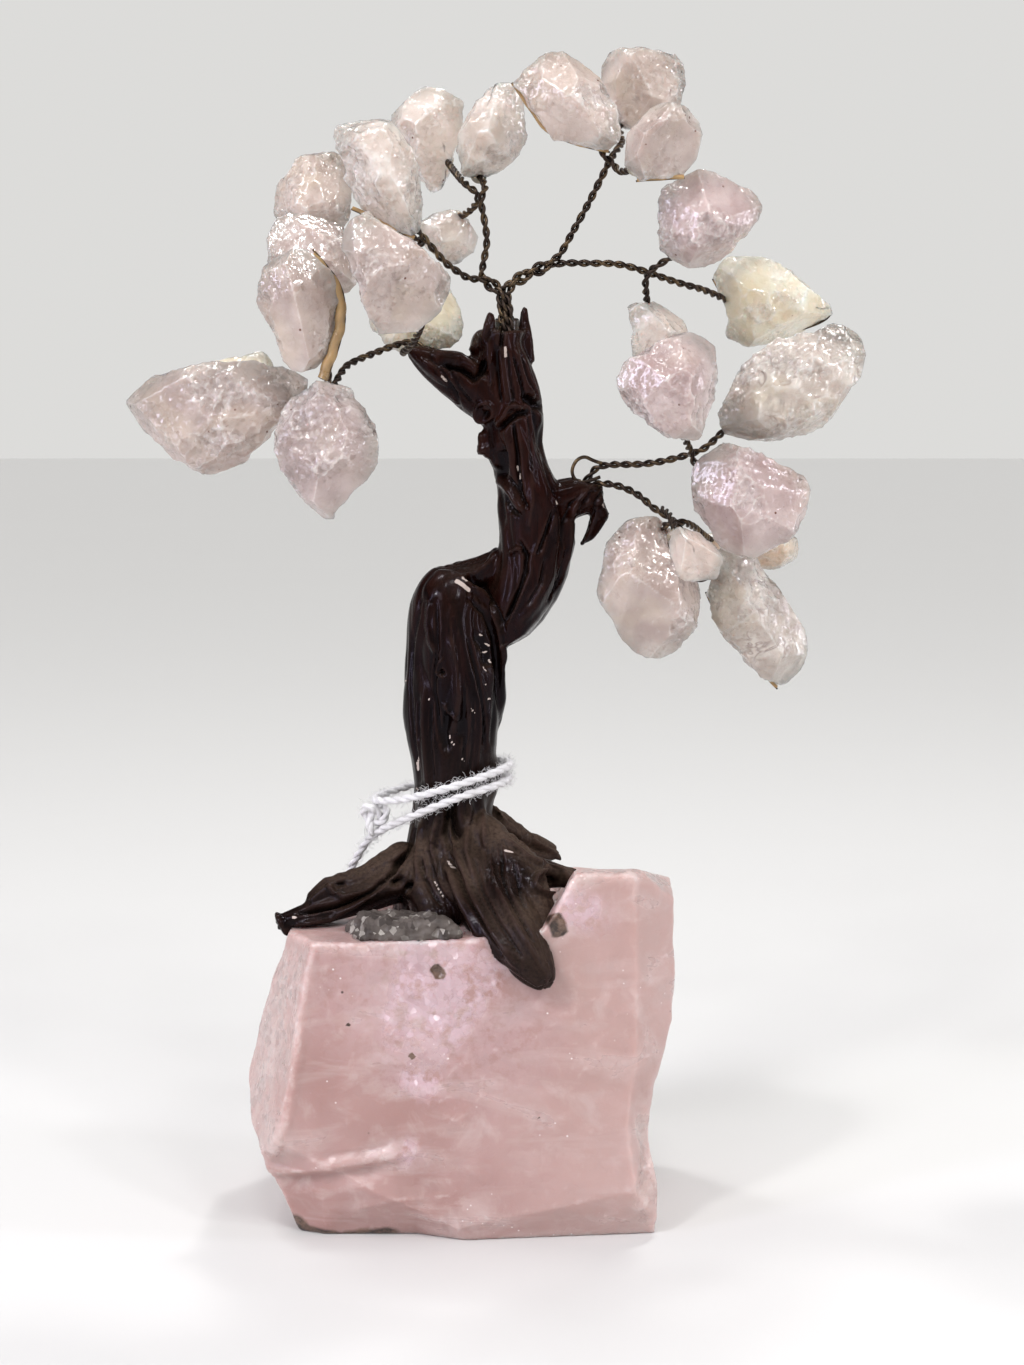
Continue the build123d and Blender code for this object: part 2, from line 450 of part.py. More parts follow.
wires = {}
for name in wire_names:
    with BuildPart() as wire:
        add(twigs[name])
        for number, corner in leaves_of(name):
            add(hoops[number])
        for earlier in wires.values():
            add(earlier, mode=Mode.SUBTRACT)
    wires[name] = finish(wire.part, name)

# Leaf stones: lofted through their sections, chipped in front and grooved behind for wire and hoop
rough_stones = {}
for number in LEAF_SHARES:
    with BuildPart() as rough_stone:
        for depth_share, swell_share in (FRONT_SHARES, SHOULDER_SHARES, GIRDLE_SHARES, BACK_SHARES):
            section = leaf_section(number, depth_share, swell_share)
            facing_plane = Plane(origin=(0, section[0].Y, 0), x_dir=(1, 0, 0), z_dir=(0, -1, 0))
            with BuildSketch(facing_plane):
                with BuildLine():
                    Polyline(*[(corner.X, corner.Z) for corner in section], close=True)
                make_face()
        loft(ruled=True)
        for turn in range(CHIPS_PER_STONE):
            facing_shares, bite_share = CHIP_SHARES[(number + CHIP_STRIDE * turn) % len(CHIP_SHARES)]
            facing = Vector(*facing_shares).normalized()
            reach = max(Vector(*vertex).dot(facing) for vertex in rough_stone.vertices())
            bite = bite_share * leaf_size(number)[2]
            split(bisect_by=Plane(origin=facing * (reach - bite), z_dir=facing), keep=Keep.BOTTOM)
    rough_stones[number] = rough_stone.part
    carrier = next(name for name in wire_names if number in [leaf for leaf, corner in leaves_of(name)])
    with BuildPart() as leaf_stone:
        add(rough_stones[number])
        add(twig_beds[carrier], mode=Mode.SUBTRACT)
        add(hoop_beds[number], mode=Mode.SUBTRACT)
    finish(leaf_stone.part, f"leaf_stone_{number:02d}")

# Trunk: its limbs fused, seated on the stone and drilled for the wires that it holds
limbs = [limb(name) for name in LIMB_STATION_SHARES]
with BuildPart() as trunk:
    for grown in limbs:
        add(grown)
    add(base_stone.part, mode=Mode.SUBTRACT)
    for name in MAIN_WIRE_SHARES:
        add(twig_beds[name], mode=Mode.SUBTRACT)
finish(trunk.part, "trunk")

# Putty that beds the roots, a low mound between the left root and the front root
with BuildPart() as bedding_putty:
    for lift, size_share in ((-PUTTY_HEIGHT, 1.0), (PUTTY_HEIGHT, PUTTY_TOP_SHARE)):
        middle = Vector(
            sum(right for right, back in PUTTY_PLAN_SHARES) / len(PUTTY_PLAN_SHARES),
            sum(back for right, back in PUTTY_PLAN_SHARES) / len(PUTTY_PLAN_SHARES),
        )
        with BuildSketch(Plane.XY.offset(SHELF_HEIGHT + lift)):
            with BuildLine():
                Polyline(
                    *[
                        (
                            between(middle.X, right, size_share) * PUTTY_WIDTH,
                            between(middle.Y, back, size_share) * PUTTY_WIDTH,
                        )
                        for right, back in PUTTY_PLAN_SHARES
                    ],
                    close=True,
                )
            make_face()
    loft(ruled=True)
    add(base_stone.part, mode=Mode.SUBTRACT)
finish(largest_solid(bedding_putty.part), "bedding_putty")

# Glue where the crown wires leave the trunk's top
trunk_top = limb_place(LIMB_STATION_SHARES["upper trunk"][-1])
with BuildPart() as socket_glue:
    with BuildSketch(Plane(origin=(SOCKET.X, SOCKET.Y, trunk_top.Z))):
        Circle(SOCKET_GLUE_DIAMETER / 2)
    extrude(amount=SOCKET_GLUE_HEIGHT)
    fillet(socket_glue.faces().sort_by(Axis.Z)[-1].edges(), SOCKET_GLUE_ROUNDING)
    for name in MAIN_WIRE_SHARES:
        add(twig_beds[name], mode=Mode.SUBTRACT)
finish(largest_solid(socket_glue.part), "socket_glue")

# Glue beads where each twig meets its leaf
beads = []
for name in wire_names:
    for number, corner in leaves_of(name):
        with BuildPart() as bead:
            with Locations(twig_foot(number, corner)):
                Sphere(LEAF_GLUE_DIAMETER / 2)
            add(rough_stones[number], mode=Mode.SUBTRACT)
            add(twig_beds[name], mode=Mode.SUBTRACT)
            add(hoop_beds[number], mode=Mode.SUBTRACT)
        beads.append(largest_solid(bead.part))
finish(Compound(children=beads), "leaf_glue")

# Tag string, with its bends, its length, the narrowest gap between its turns and its tube's volume printed
string_points = [Vector(*place) for place in STRING_ROUTE]
string_line = centreline(string_points)
tag_string = finish(bent_tube(string_points, STRING_DIAMETER), "tag_string")
marks = [string_line @ (step / STRING_MARKS) for step in range(STRING_MARKS + 1)]
narrowest = min(
    (mark - other).length
    for index, mark in enumerate(marks)
    for other in marks[index + STRING_MARKS_APART:]
)
print("string bends", [round(radius, 1) for radius in bend_radii(string_points)])
print("string length", round(string_line.length, 1), "narrowest gap", round(narrowest - STRING_DIAMETER, 2))
plain_volume = math.pi * (STRING_DIAMETER / 2) ** 2 * string_line.length
print("string volume", round(tag_string.volume, 1), "section times length", round(plain_volume, 1))
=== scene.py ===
import math
import random

import bmesh
import bpy
import numpy as np
from mathutils import Matrix, Vector


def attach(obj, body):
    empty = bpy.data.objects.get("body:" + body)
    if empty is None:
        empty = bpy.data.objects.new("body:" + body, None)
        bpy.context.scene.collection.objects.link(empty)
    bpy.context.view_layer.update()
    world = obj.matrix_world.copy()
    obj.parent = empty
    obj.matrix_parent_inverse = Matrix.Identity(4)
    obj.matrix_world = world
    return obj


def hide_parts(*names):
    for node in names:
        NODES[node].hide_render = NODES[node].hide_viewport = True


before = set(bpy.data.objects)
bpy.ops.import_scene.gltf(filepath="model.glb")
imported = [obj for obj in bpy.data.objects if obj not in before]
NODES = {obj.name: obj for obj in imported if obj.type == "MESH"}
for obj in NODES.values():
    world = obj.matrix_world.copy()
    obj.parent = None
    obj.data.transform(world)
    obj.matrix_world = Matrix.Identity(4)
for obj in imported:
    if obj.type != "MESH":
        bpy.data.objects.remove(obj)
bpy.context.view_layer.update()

MM = 0.001

# Farther off than anything on the tree
FAR = 9.0

# The photograph's size in pixels, and its camera's lens, place and tilt
PHOTO_WIDTH = 1024
PHOTO_HEIGHT = 1365
LENS = 66.07
SENSOR_HEIGHT = 36.0
CAMERA_PLACE = (0.0108, -0.495134, 0.176587)
CAMERA_TILT = math.radians(82)

# The crown's places are counted from the hole in the trunk's top, as the CAD source counts them
SOCKET = Vector((9.8, 0.0, 179.0)) * MM
CROWN_REACH = 75.0 * MM
LEAF_SIZE = 20.0 * MM

# The trunk's limbs stand on the stone's shelf
SHELF_HEIGHT = 60.0 * MM
TRUNK_HEIGHT = 120.0 * MM
ROOT_SPREAD = 60.0 * MM
WAIST_WIDTH = 16.0 * MM

# Wire: twigs are two strands twisted together, hoops round the leaves' backs are one strand
STRAND = 0.72 * MM
PITCH = 4.6 * MM

# Tag string
STRING_ROUTE = [
    (-3.0, 10.8, 88.5), (5.0, 10.6, 89.6), (10.4, 4.6, 90.4), (10.2, -5.2, 90.8), (4.0, -11.4, 89.5),
    (-4.6, -11.2, 86.8), (-11.6, -7.4, 84.4), (-17.6, -1.0, 83.2), (-15.0, 5.0, 83.6), (-8.0, 10.4, 84.8),
    (1.4, 11.4, 86.2), (9.0, 7.6, 87.2), (10.8, -0.8, 87.9), (8.2, -9.0, 87.9), (0.4, -12.0, 86.0),
    (-7.2, -10.2, 82.6), (-12.8, -6.0, 79.4), (-17.6, -1.0, 76.2), (-20.4, 2.2, 71.4), (-23.0, 4.0, 66.4),
    (-23.4, 6.6, 63.2), (-22.6, 10.4, 61.3), (-19.6, 13.0, 61.0), (-22.4, 16.2, 61.0), (-26.0, 14.6, 61.0),
]
KNOT_PLACE = Vector((-16.6, -1.6, 80.0)) * MM
KNOT_SIZE = 0.85 * MM
KNOT_STEPS = 60

# Size of the even grid that each kind of piece is made again on
LEAF_GRID = 0.28 * MM
BASE_GRID = 0.55 * MM
TRUNK_GRID = 0.42 * MM
PUTTY_GRID = 0.35 * MM
GLUE_GRID = 0.22 * MM

# Base: its right side is hollowed, its left foot comes forward, and its shoulder slopes back from its crest
HOLLOW_DEPTH = 3.2 * MM
HOLLOW_HEIGHT = 22 * MM
HOLLOW_SPREAD = 13 * MM
FOOT_FORWARD = 7.5 * MM
CREST_BACK = -19 * MM
SHOULDER_DEPTH = 20 * MM
SHOULDER_SLOPE = 0.30

# Trunk: depths of the grooves that flow along it
BROAD_GROOVES = 1.1 * MM
MIDDLING_GROOVES = 0.35 * MM
FINE_GROOVES = 0.07 * MM

# Limbs: right, back and up from the shelf, half width and half depth, as shares of the sizes above
LIMBS = {
    "waist": [(-0.02, 0.00, -0.03, 0.76, 0.75), (-0.01, 0.00, 0.06, 0.69, 0.75),
              (-0.01, 0.00, 0.12, 0.59, 0.66), (-0.02, 0.00, 0.19, 0.50, 0.56),
              (-0.01, 0.00, 0.24, 0.55, 0.59), (-0.01, 0.00, 0.33, 0.63, 0.62),
              (-0.01, 0.00, 0.41, 0.62, 0.62), (-0.02, 0.00, 0.49, 0.57, 0.59),
              (-0.03, 0.00, 0.55, 0.42, 0.50), (-0.02, 0.00, 0.58, 0.20, 0.28)],
    "upper trunk": [(0.07, 0.05, 0.31, 0.30, 0.31), (0.13, 0.05, 0.38, 0.40, 0.41),
                    (0.18, 0.05, 0.46, 0.50, 0.50), (0.22, 0.03, 0.54, 0.52, 0.53),
                    (0.26, 0.02, 0.62, 0.48, 0.50), (0.24, 0.00, 0.70, 0.40, 0.47),
                    (0.21, 0.00, 0.76, 0.33, 0.41), (0.18, 0.00, 0.83, 0.37, 0.41),
                    (0.17, 0.00, 0.88, 0.37, 0.41), (0.15, 0.00, 0.92, 0.34, 0.38),
                    (0.15, 0.00, 0.97, 0.29, 0.34)],
    "left stub": [(0.14, 0.00, 0.85, 0.34, 0.38), (0.03, 0.00, 0.89, 0.32, 0.36),
                  (-0.06, 0.00, 0.91, 0.20, 0.28), (-0.15, 0.00, 0.94, 0.07, 0.14)],
    "right stub": [(0.26, 0.00, 0.68, 0.32, 0.36), (0.39, 0.00, 0.70, 0.25, 0.30),
                   (0.48, 0.00, 0.70, 0.14, 0.20)],
    "right hook": [(0.43, 0.00, 0.71, 0.14, 0.20), (0.47, 0.00, 0.67, 0.11, 0.16),
                   (0.44, 0.00, 0.64, 0.07, 0.12), (0.41, 0.00, 0.62, 0.04, 0.07)],
    "left spike": [(0.10, -0.06, 0.92, 0.12, 0.14), (0.11, -0.06, 1.00, 0.03, 0.04)],
    "right spike": [(0.22, 0.04, 0.92, 0.14, 0.15), (0.22, 0.04, 1.01, 0.03, 0.04)],
    "left root": [(-0.05, 0.00, 0.11, 0.35, 0.44), (-0.13, -0.05, 0.08, 0.30, 0.40),
                  (-0.24, -0.10, 0.06, 0.25, 0.34), (-0.39, -0.13, 0.03, 0.20, 0.27),
                  (-0.52, -0.15, 0.01, 0.14, 0.20), (-0.60, -0.15, 0.00, 0.09, 0.12)],
    "front root": [(0.02, -0.07, 0.11, 0.42, 0.48), (0.08, -0.18, 0.06, 0.43, 0.48),
                   (0.17, -0.32, 0.01, 0.39, 0.42), (0.24, -0.42, -0.03, 0.28, 0.32),
                   (0.29, -0.48, -0.06, 0.12, 0.16)],
    "right root": [(0.07, 0.00, 0.13, 0.38, 0.42), (0.19, 0.00, 0.10, 0.30, 0.36),
                   (0.29, -0.02, 0.10, 0.19, 0.26), (0.39, -0.03, 0.10, 0.09, 0.14)],
    "back right root": [(0.09, 0.08, 0.15, 0.30, 0.36), (0.19, 0.19, 0.13, 0.27, 0.32),
                        (0.29, 0.27, 0.12, 0.21, 0.26), (0.37, 0.32, 0.11, 0.10, 0.14)],
    "back left root": [(-0.06, 0.07, 0.10, 0.33, 0.42), (-0.17, 0.18, 0.05, 0.28, 0.34),
                       (-0.25, 0.27, 0.02, 0.21, 0.26), (-0.31, 0.33, 0.00, 0.10, 0.14)],
    "back root": [(0.01, 0.10, 0.10, 0.33, 0.42), (0.02, 0.21, 0.05, 0.30, 0.36),
                  (0.02, 0.30, 0.02, 0.21, 0.26), (0.01, 0.37, 0.00, 0.10, 0.14)],
}

# Webs that fill the forks between the roots, and other swellings, in the same shares
WEBS = {
    "right web": [(0.09, -0.08, 0.13, 0.40, 0.40), (0.19, -0.16, 0.085, 0.36, 0.34),
                  (0.245, -0.235, 0.035, 0.29, 0.27), (0.28, -0.33, -0.01, 0.20, 0.18)],
    "knee saddle": [(-0.045, 0.02, 0.558, 0.26, 0.19), (0.03, 0.03, 0.567, 0.28, 0.19),
                    (0.10, 0.03, 0.577, 0.28, 0.19), (0.15, 0.02, 0.59, 0.26, 0.19)],
    "burl": [(0.115, -0.03, 0.800, 0.13, 0.15), (0.120, -0.03, 0.782, 0.12, 0.13),
             (0.135, -0.02, 0.765, 0.12, 0.12)],
    "left shoulder": [(-0.47, -0.14, 0.040, 0.13, 0.13), (-0.423, -0.13, 0.054, 0.17, 0.17),
                      (-0.298, -0.10, 0.072, 0.20, 0.18), (-0.187, -0.07, 0.100, 0.24, 0.21)],
    "left web": [(-0.04, -0.05, 0.12, 0.38, 0.42), (-0.09, -0.12, 0.06, 0.34, 0.34),
                 (-0.07, -0.20, 0.02, 0.30, 0.26)],
    "back web": [(0.06, 0.08, 0.12, 0.42, 0.42), (0.12, 0.17, 0.07, 0.36, 0.34),
                 (0.16, 0.25, 0.02, 0.22, 0.24)],
}

# Leaf stones: middle from the socket; width, height and thickness; the outline's corners
LEAVES = {
    1: ((-0.75, -0.12, -0.27), (1.70, 0.99, 0.50),
        [(-1.00, 0.34), (-0.90, 0.75), (-0.70, 0.88), (0.42, 1.00), (1.00, 0.73), (0.79, 0.25),
         (0.28, -0.80), (0.08, -1.00), (-0.48, -0.61), (-0.99, 0.01)]),
    2: ((-0.72, 0.12, -0.16), (0.94, 0.46, 0.50),
        [(-1.00, -0.35), (-0.70, 0.49), (-0.31, 0.86), (0.54, 1.00), (0.83, 0.49), (1.00, -0.21),
         (0.70, -1.00), (-0.69, -1.00)]),
    3: ((-0.46, -0.31, -0.32), (0.92, 1.25, 0.55),
        [(-0.68, 0.70), (-0.09, 0.90), (0.42, 1.00), (1.00, 0.36), (0.95, -0.24), (0.48, -0.68),
         (-0.04, -1.00), (-0.38, -0.76), (-1.00, -0.03)]),
    4: ((-0.52, -0.29, 0.00), (0.78, 1.12, 0.55),
        [(-0.82, 0.77), (0.32, 1.00), (0.77, 0.65), (1.00, 0.33), (0.99, -0.27), (0.53, -1.00),
         (-0.19, -0.87), (-0.77, -0.09), (-1.00, 0.28)]),
    5: ((-0.50, -0.05, 0.16), (0.82, 0.88, 0.55),
        [(-0.92, 0.44), (-0.77, 0.72), (0.17, 1.00), (0.68, 0.63), (1.00, 0.09), (0.99, -0.54),
         (0.66, -0.96), (-0.35, -1.00), (-1.00, -0.45)]),
    6: ((-0.53, 0.27, 0.33), (0.79, 0.78, 0.60),
        [(-1.00, 0.22), (-0.48, 0.52), (-0.35, 0.85), (0.55, 1.00), (0.91, 0.65), (1.00, -0.24),
         (0.87, -0.80), (-0.04, -1.00), (-0.94, -0.75)]),
    7: ((-0.26, -0.35, 0.10), (1.00, 1.08, 0.60),
        [(-1.00, 0.63), (-0.55, 1.00), (-0.11, 0.78), (0.89, 0.09), (1.00, -0.15), (0.78, -0.59),
         (0.31, -1.00), (-0.34, -0.97), (-0.80, 0.09)]),
    8: ((-0.25, 0.07, 0.04), (0.95, 0.84, 0.60),
        [(-1.00, 0.38), (-0.52, 0.91), (0.20, 1.00), (0.78, 0.61), (1.00, -0.26), (0.92, -0.70),
         (0.40, -1.00), (-0.47, -0.98), (-0.84, -0.47)]),
    9: ((-0.32, -0.11, 0.35), (0.81, 1.08, 0.60),
        [(-1.00, 0.78), (-0.08, 1.00), (0.42, 0.86), (0.63, 0.45), (0.98, -0.11), (1.00, -0.91),
         (0.76, -1.00), (-0.68, -0.49)]),
    10: ((-0.15, 0.19, 0.21), (0.62, 0.64, 0.45),
         [(-0.93, 0.48), (-0.54, 0.91), (-0.16, 1.00), (0.58, 0.57), (1.00, -0.04), (0.22, -1.00),
          (-1.00, -0.23)]),
    11: ((-0.22, 0.32, 0.47), (0.73, 1.01, 0.60),
         [(-1.00, 0.63), (-0.36, 0.88), (0.31, 1.00), (1.00, 0.72), (0.97, 0.25), (0.38, -1.00),
          (-0.07, -0.84), (-0.89, 0.25)]),
    12: ((-0.04, 0.08, 0.47), (0.69, 0.98, 0.60),
         [(0.09, 1.00), (0.71, 0.92), (1.00, 0.57), (1.00, -0.06), (0.49, -0.65), (-0.23, -1.00),
          (-0.69, -0.86), (-1.00, -0.25), (-0.86, 0.24)]),
    13: ((0.15, -0.08, 0.54), (0.98, 0.86, 0.60),
         [(-1.00, 0.44), (-0.48, 0.98), (0.03, 1.00), (0.53, 0.81), (0.80, 0.33), (1.00, -0.59),
          (0.83, -1.00), (-0.24, -0.78), (-0.65, -0.15)]),
    14: ((0.36, 0.16, 0.59), (0.91, 0.74, 0.60),
         [(-1.00, 0.63), (-0.70, 0.92), (0.71, 1.00), (0.99, 0.53), (1.00, -0.10), (0.79, -0.63),
          (0.14, -0.95), (-0.52, -1.00), (-0.80, -0.42)]),
    15: ((0.39, -0.24, 0.43), (0.77, 0.65, 0.55),
         [(-1.00, -0.12), (-0.83, 0.52), (-0.16, 1.00), (0.49, 0.89), (1.00, 0.52), (0.99, -0.60),
          (0.50, -0.92), (-0.61, -1.00), (-1.00, -0.66)]),
    16: ((0.52, -0.11, 0.24), (0.96, 0.95, 0.60),
         [(-1.00, 0.37), (-0.76, 0.82), (-0.19, 1.00), (1.00, 0.47), (0.95, 0.03), (0.41, -0.56),
          (-0.15, -1.00), (-0.51, -0.92), (-0.95, -0.52)]),
    17: ((0.74, 0.21, 0.04), (1.34, 0.87, 0.50),
         [(-1.00, 0.54), (-0.78, 1.00), (-0.20, 1.00), (0.56, 0.08), (1.00, -0.17), (0.78, -0.58),
          (-0.28, -1.00), (-0.85, -0.86), (-0.72, -0.33), (-0.86, 0.13)]),
    18: ((0.74, -0.05, -0.17), (1.33, 1.04, 0.60),
         [(-0.73, 0.34), (-0.25, 0.72), (0.52, 1.00), (1.00, 1.00), (0.95, 0.30), (0.70, -0.31),
          (0.43, -0.78), (-0.38, -1.00), (-0.95, -0.98), (-1.00, -0.55)]),
    19: ((0.41, -0.29, -0.17), (0.98, 0.96, 0.60),
         [(-0.74, 0.52), (0.02, 0.86), (0.38, 1.00), (0.84, 0.77), (1.00, 0.09), (0.78, -0.43),
          (0.46, -1.00), (-0.04, -0.94), (-1.00, -0.30), (-0.85, 0.26)]),
    20: ((0.41, 0.05, -0.06), (0.65, 0.69, 0.55),
         [(-1.00, 0.97), (-0.04, 1.00), (0.69, 0.63), (1.00, 0.07), (0.83, -0.63), (-0.02, -1.00),
          (-0.81, -0.83)]),
    21: ((0.63, -0.16, -0.46), (1.17, 1.10, 0.60),
         [(-0.84, 0.74), (-0.47, 1.00), (1.00, 0.35), (0.73, -0.58), (0.01, -1.00), (-0.40, -0.79),
          (-1.00, -0.14)]),
    22: ((0.66, 0.16, -0.62), (1.07, 0.48, 0.45),
         [(-1.00, 0.67), (-0.54, 1.00), (0.81, 0.76), (1.00, 0.38), (0.95, -0.57), (0.42, -1.00),
          (-0.73, 0.05)]),
    23: ((0.38, -0.08, -0.68), (1.02, 1.30, 0.60),
         [(-0.81, 0.55), (-0.57, 0.89), (-0.20, 1.00), (0.72, 0.56), (1.00, -0.15), (0.89, -0.53),
          (0.30, -1.00), (-0.26, -0.91), (-1.00, -0.09)]),
    24: ((0.47, -0.32, -0.60), (0.57, 0.60, 0.45),
         [(-1.00, 0.56), (-0.47, 1.00), (0.43, 0.75), (1.00, 0.14), (0.81, -0.68), (0.31, -1.00),
          (-0.46, -0.59)]),
    25: ((0.67, 0.05, -0.80), (0.99, 1.38, 0.60),
         [(-0.69, 0.99), (-0.18, 1.00), (0.50, 0.49), (1.00, -0.21), (0.99, -0.71), (0.79, -1.00),
          (0.41, -0.97), (-0.75, -0.12), (-1.00, 0.39)]),
}

# Leaves: how much fuller than their solids, in all and in front, and where the wire hoop lies
LEAF_FULLNESS = (1.10, 1.04, 1.10)
FRONT_FULLNESS = 0.32
HOOP_DEPTH = 0.225
HOOP_SWELL = 0.802

# Broken faces in front, at the rim and behind: how many, how far back they face, and bites in millimetres
BROKEN_FACES = (
    (6, -0.97, -0.45, 1.2, 2.8),
    (8, -0.35, 0.35, 0.1, 0.8),
    (4, 0.35, 0.95, 0.4, 1.3),
)

# Wires: places from the socket, then the leaf and the corner of its outline where the twig meets the hoop.
# A cross wire has a leaf and a corner at each end
MAIN_WIRES = {
    "crown_wire_1": ([(0.17, -0.03, 0.22), (0.21, -0.03, 0.29), (0.25, -0.04, 0.37), (0.27, -0.03, 0.41),
                      (0.30, 0.04, 0.45), (0.30, 0.14, 0.47)], 14, 7),
    "crown_wire_2": ([(0.22, -0.02, 0.14), (0.29, -0.01, 0.14), (0.36, 0.00, 0.12), (0.45, 0.05, 0.09),
                      (0.54, 0.11, 0.07)], 17, 8),
    "crown_wire_3": ([(-0.06, 0.04, 0.15), (-0.05, 0.04, 0.20), (-0.06, 0.04, 0.26), (-0.07, 0.04, 0.31),
                      (-0.05, 0.05, 0.34)], 12, 5),
    "crown_wire_4": ([(-0.10, -0.01, 0.10), (-0.13, -0.03, 0.12), (-0.16, -0.05, 0.14),
                      (-0.21, -0.08, 0.20)], 9, 5),
    "left_arm_wire": ([(-0.12, 0.01, -0.12), (-0.19, 0.00, -0.09), (-0.25, 0.00, -0.06),
                       (-0.29, -0.04, -0.07), (-0.34, -0.08, -0.09), (-0.39, -0.13, -0.11),
                       (-0.42, -0.19, -0.13)], 3, 1),
    "right_arm_wire_upper": ([(0.14, 0.01, -0.46), (0.21, 0.01, -0.43), (0.23, 0.01, -0.39),
                              (0.27, -0.01, -0.38), (0.35, -0.03, -0.38), (0.41, -0.05, -0.37),
                              (0.48, -0.07, -0.35), (0.53, -0.07, -0.33)], 18, 8),
    "right_arm_wire_lower": ([(0.14, -0.01, -0.46), (0.20, -0.01, -0.44), (0.24, -0.01, -0.43),
                              (0.27, -0.03, -0.43), (0.31, -0.04, -0.44), (0.35, -0.07, -0.46),
                              (0.38, -0.09, -0.49), (0.42, -0.11, -0.51), (0.45, -0.11, -0.54),
                              (0.50, -0.08, -0.63)], 25, 8),
}
CROSS_WIRES = {
    "cross_wire_1": ((13, 5), [(0.24, -0.05, 0.41), (0.27, -0.05, 0.40), (0.29, -0.08, 0.36)], (15, 7)),
    "cross_wire_2": ((16, 7), [(0.38, -0.05, 0.13), (0.36, -0.02, 0.11), (0.36, 0.00, 0.07)], (20, 0)),
    "cross_wire_3": ((11, 4), [(-0.13, 0.13, 0.37), (-0.10, 0.08, 0.34), (-0.07, 0.06, 0.32),
                               (-0.09, 0.11, 0.28)], (10, 2)),
    "cross_wire_4": ((6, 6), [(-0.45, 0.23, 0.19), (-0.35, 0.11, 0.22), (-0.28, 0.00, 0.21),
                              (-0.20, -0.06, 0.20), (-0.27, -0.08, 0.15), (-0.34, -0.06, 0.13)], (5, 4)),
    "cross_wire_5": (
        (4, 4), [(-0.45, -0.21, -0.13), (-0.46, -0.13, -0.18), (-0.51, -0.08, -0.21)], (1, 4),
    ),
    "cross_wire_6": (
        (7, 5), [(-0.23, -0.19, -0.06), (-0.27, -0.06, -0.09), (-0.27, 0.02, -0.09)], (8, 6),
    ),
    "cross_wire_7": (
        (19, 6), [(0.47, -0.13, -0.33), (0.48, -0.09, -0.36), (0.49, -0.11, -0.38)], (21, 0),
    ),
    "cross_wire_8": ((23, 2), [(0.40, -0.10, -0.53), (0.45, -0.13, -0.52), (0.49, -0.05, -0.54),
                               (0.52, 0.05, -0.57)], (22, 6)),
}
SIDE_TWIGS = {
    "side_twig_1": ([(-0.50, -0.08, -0.19), (-0.57, 0.00, -0.19)], 2, 5),
    "side_twig_2": ([(0.40, -0.12, -0.49), (0.43, -0.20, -0.50)], 24, 0),
}

# Ropes that the crown's wires wind into: their middle lines, then radius and pitch in millimetres
ROPES = {
    "trunk rope": (
        [(0.00, -0.03, -0.12), (0.00, -0.03, -0.06), (0.00, -0.02, 0.00), (-0.01, 0.00, 0.06)], 0.95, 9.0,
    ),
    "right rope": (
        [(0.00, 0.00, 0.075), (0.02, 0.00, 0.095), (0.07, -0.01, 0.12), (0.14, -0.02, 0.15)], 0.72, 8.0,
    ),
    "left rope": ([(-0.02, 0.00, 0.072), (-0.04, 0.01, 0.085), (-0.07, 0.01, 0.105)], 0.72, 8.0),
}
WOUND_INTO = {
    "crown_wire_1": ("trunk rope", "right rope"), "crown_wire_3": ("trunk rope", "left rope"),
    "crown_wire_2": ("trunk rope", "right rope"), "crown_wire_4": ("trunk rope", "left rope"),
}

# The small loop of single wire at the right stub
STUB_LOOP = [
    (0.245, -0.013, -0.413), (0.208, -0.016, -0.428), (0.182, -0.018, -0.426), (0.168, -0.016, -0.400),
    (0.180, -0.012, -0.370), (0.204, -0.010, -0.358), (0.226, -0.010, -0.371), (0.250, -0.010, -0.378),
]

# Strips of set glue at leaves' edges: the outline's corners that they follow, and a width in millimetres
GLUE_STRIPS = {
    4: ([1, 2, 3, 4, 5], 2.0), 13: ([0, 8, 7, 6], 0.8), 15: ([7, 6], 0.9), 17: ([8, 9, 0], 0.8),
    25: ([8, 7, 6], 0.7), 9: ([7, 6], 0.8),
}


def ring(middle, right, up):
    """A closed stroke round a middle, that many pixels wide and high each way."""
    turns = [math.tau * step / 16 for step in range(17)]
    return [(middle[0] + right * math.cos(turn), middle[1] - up * math.sin(turn)) for turn in turns]


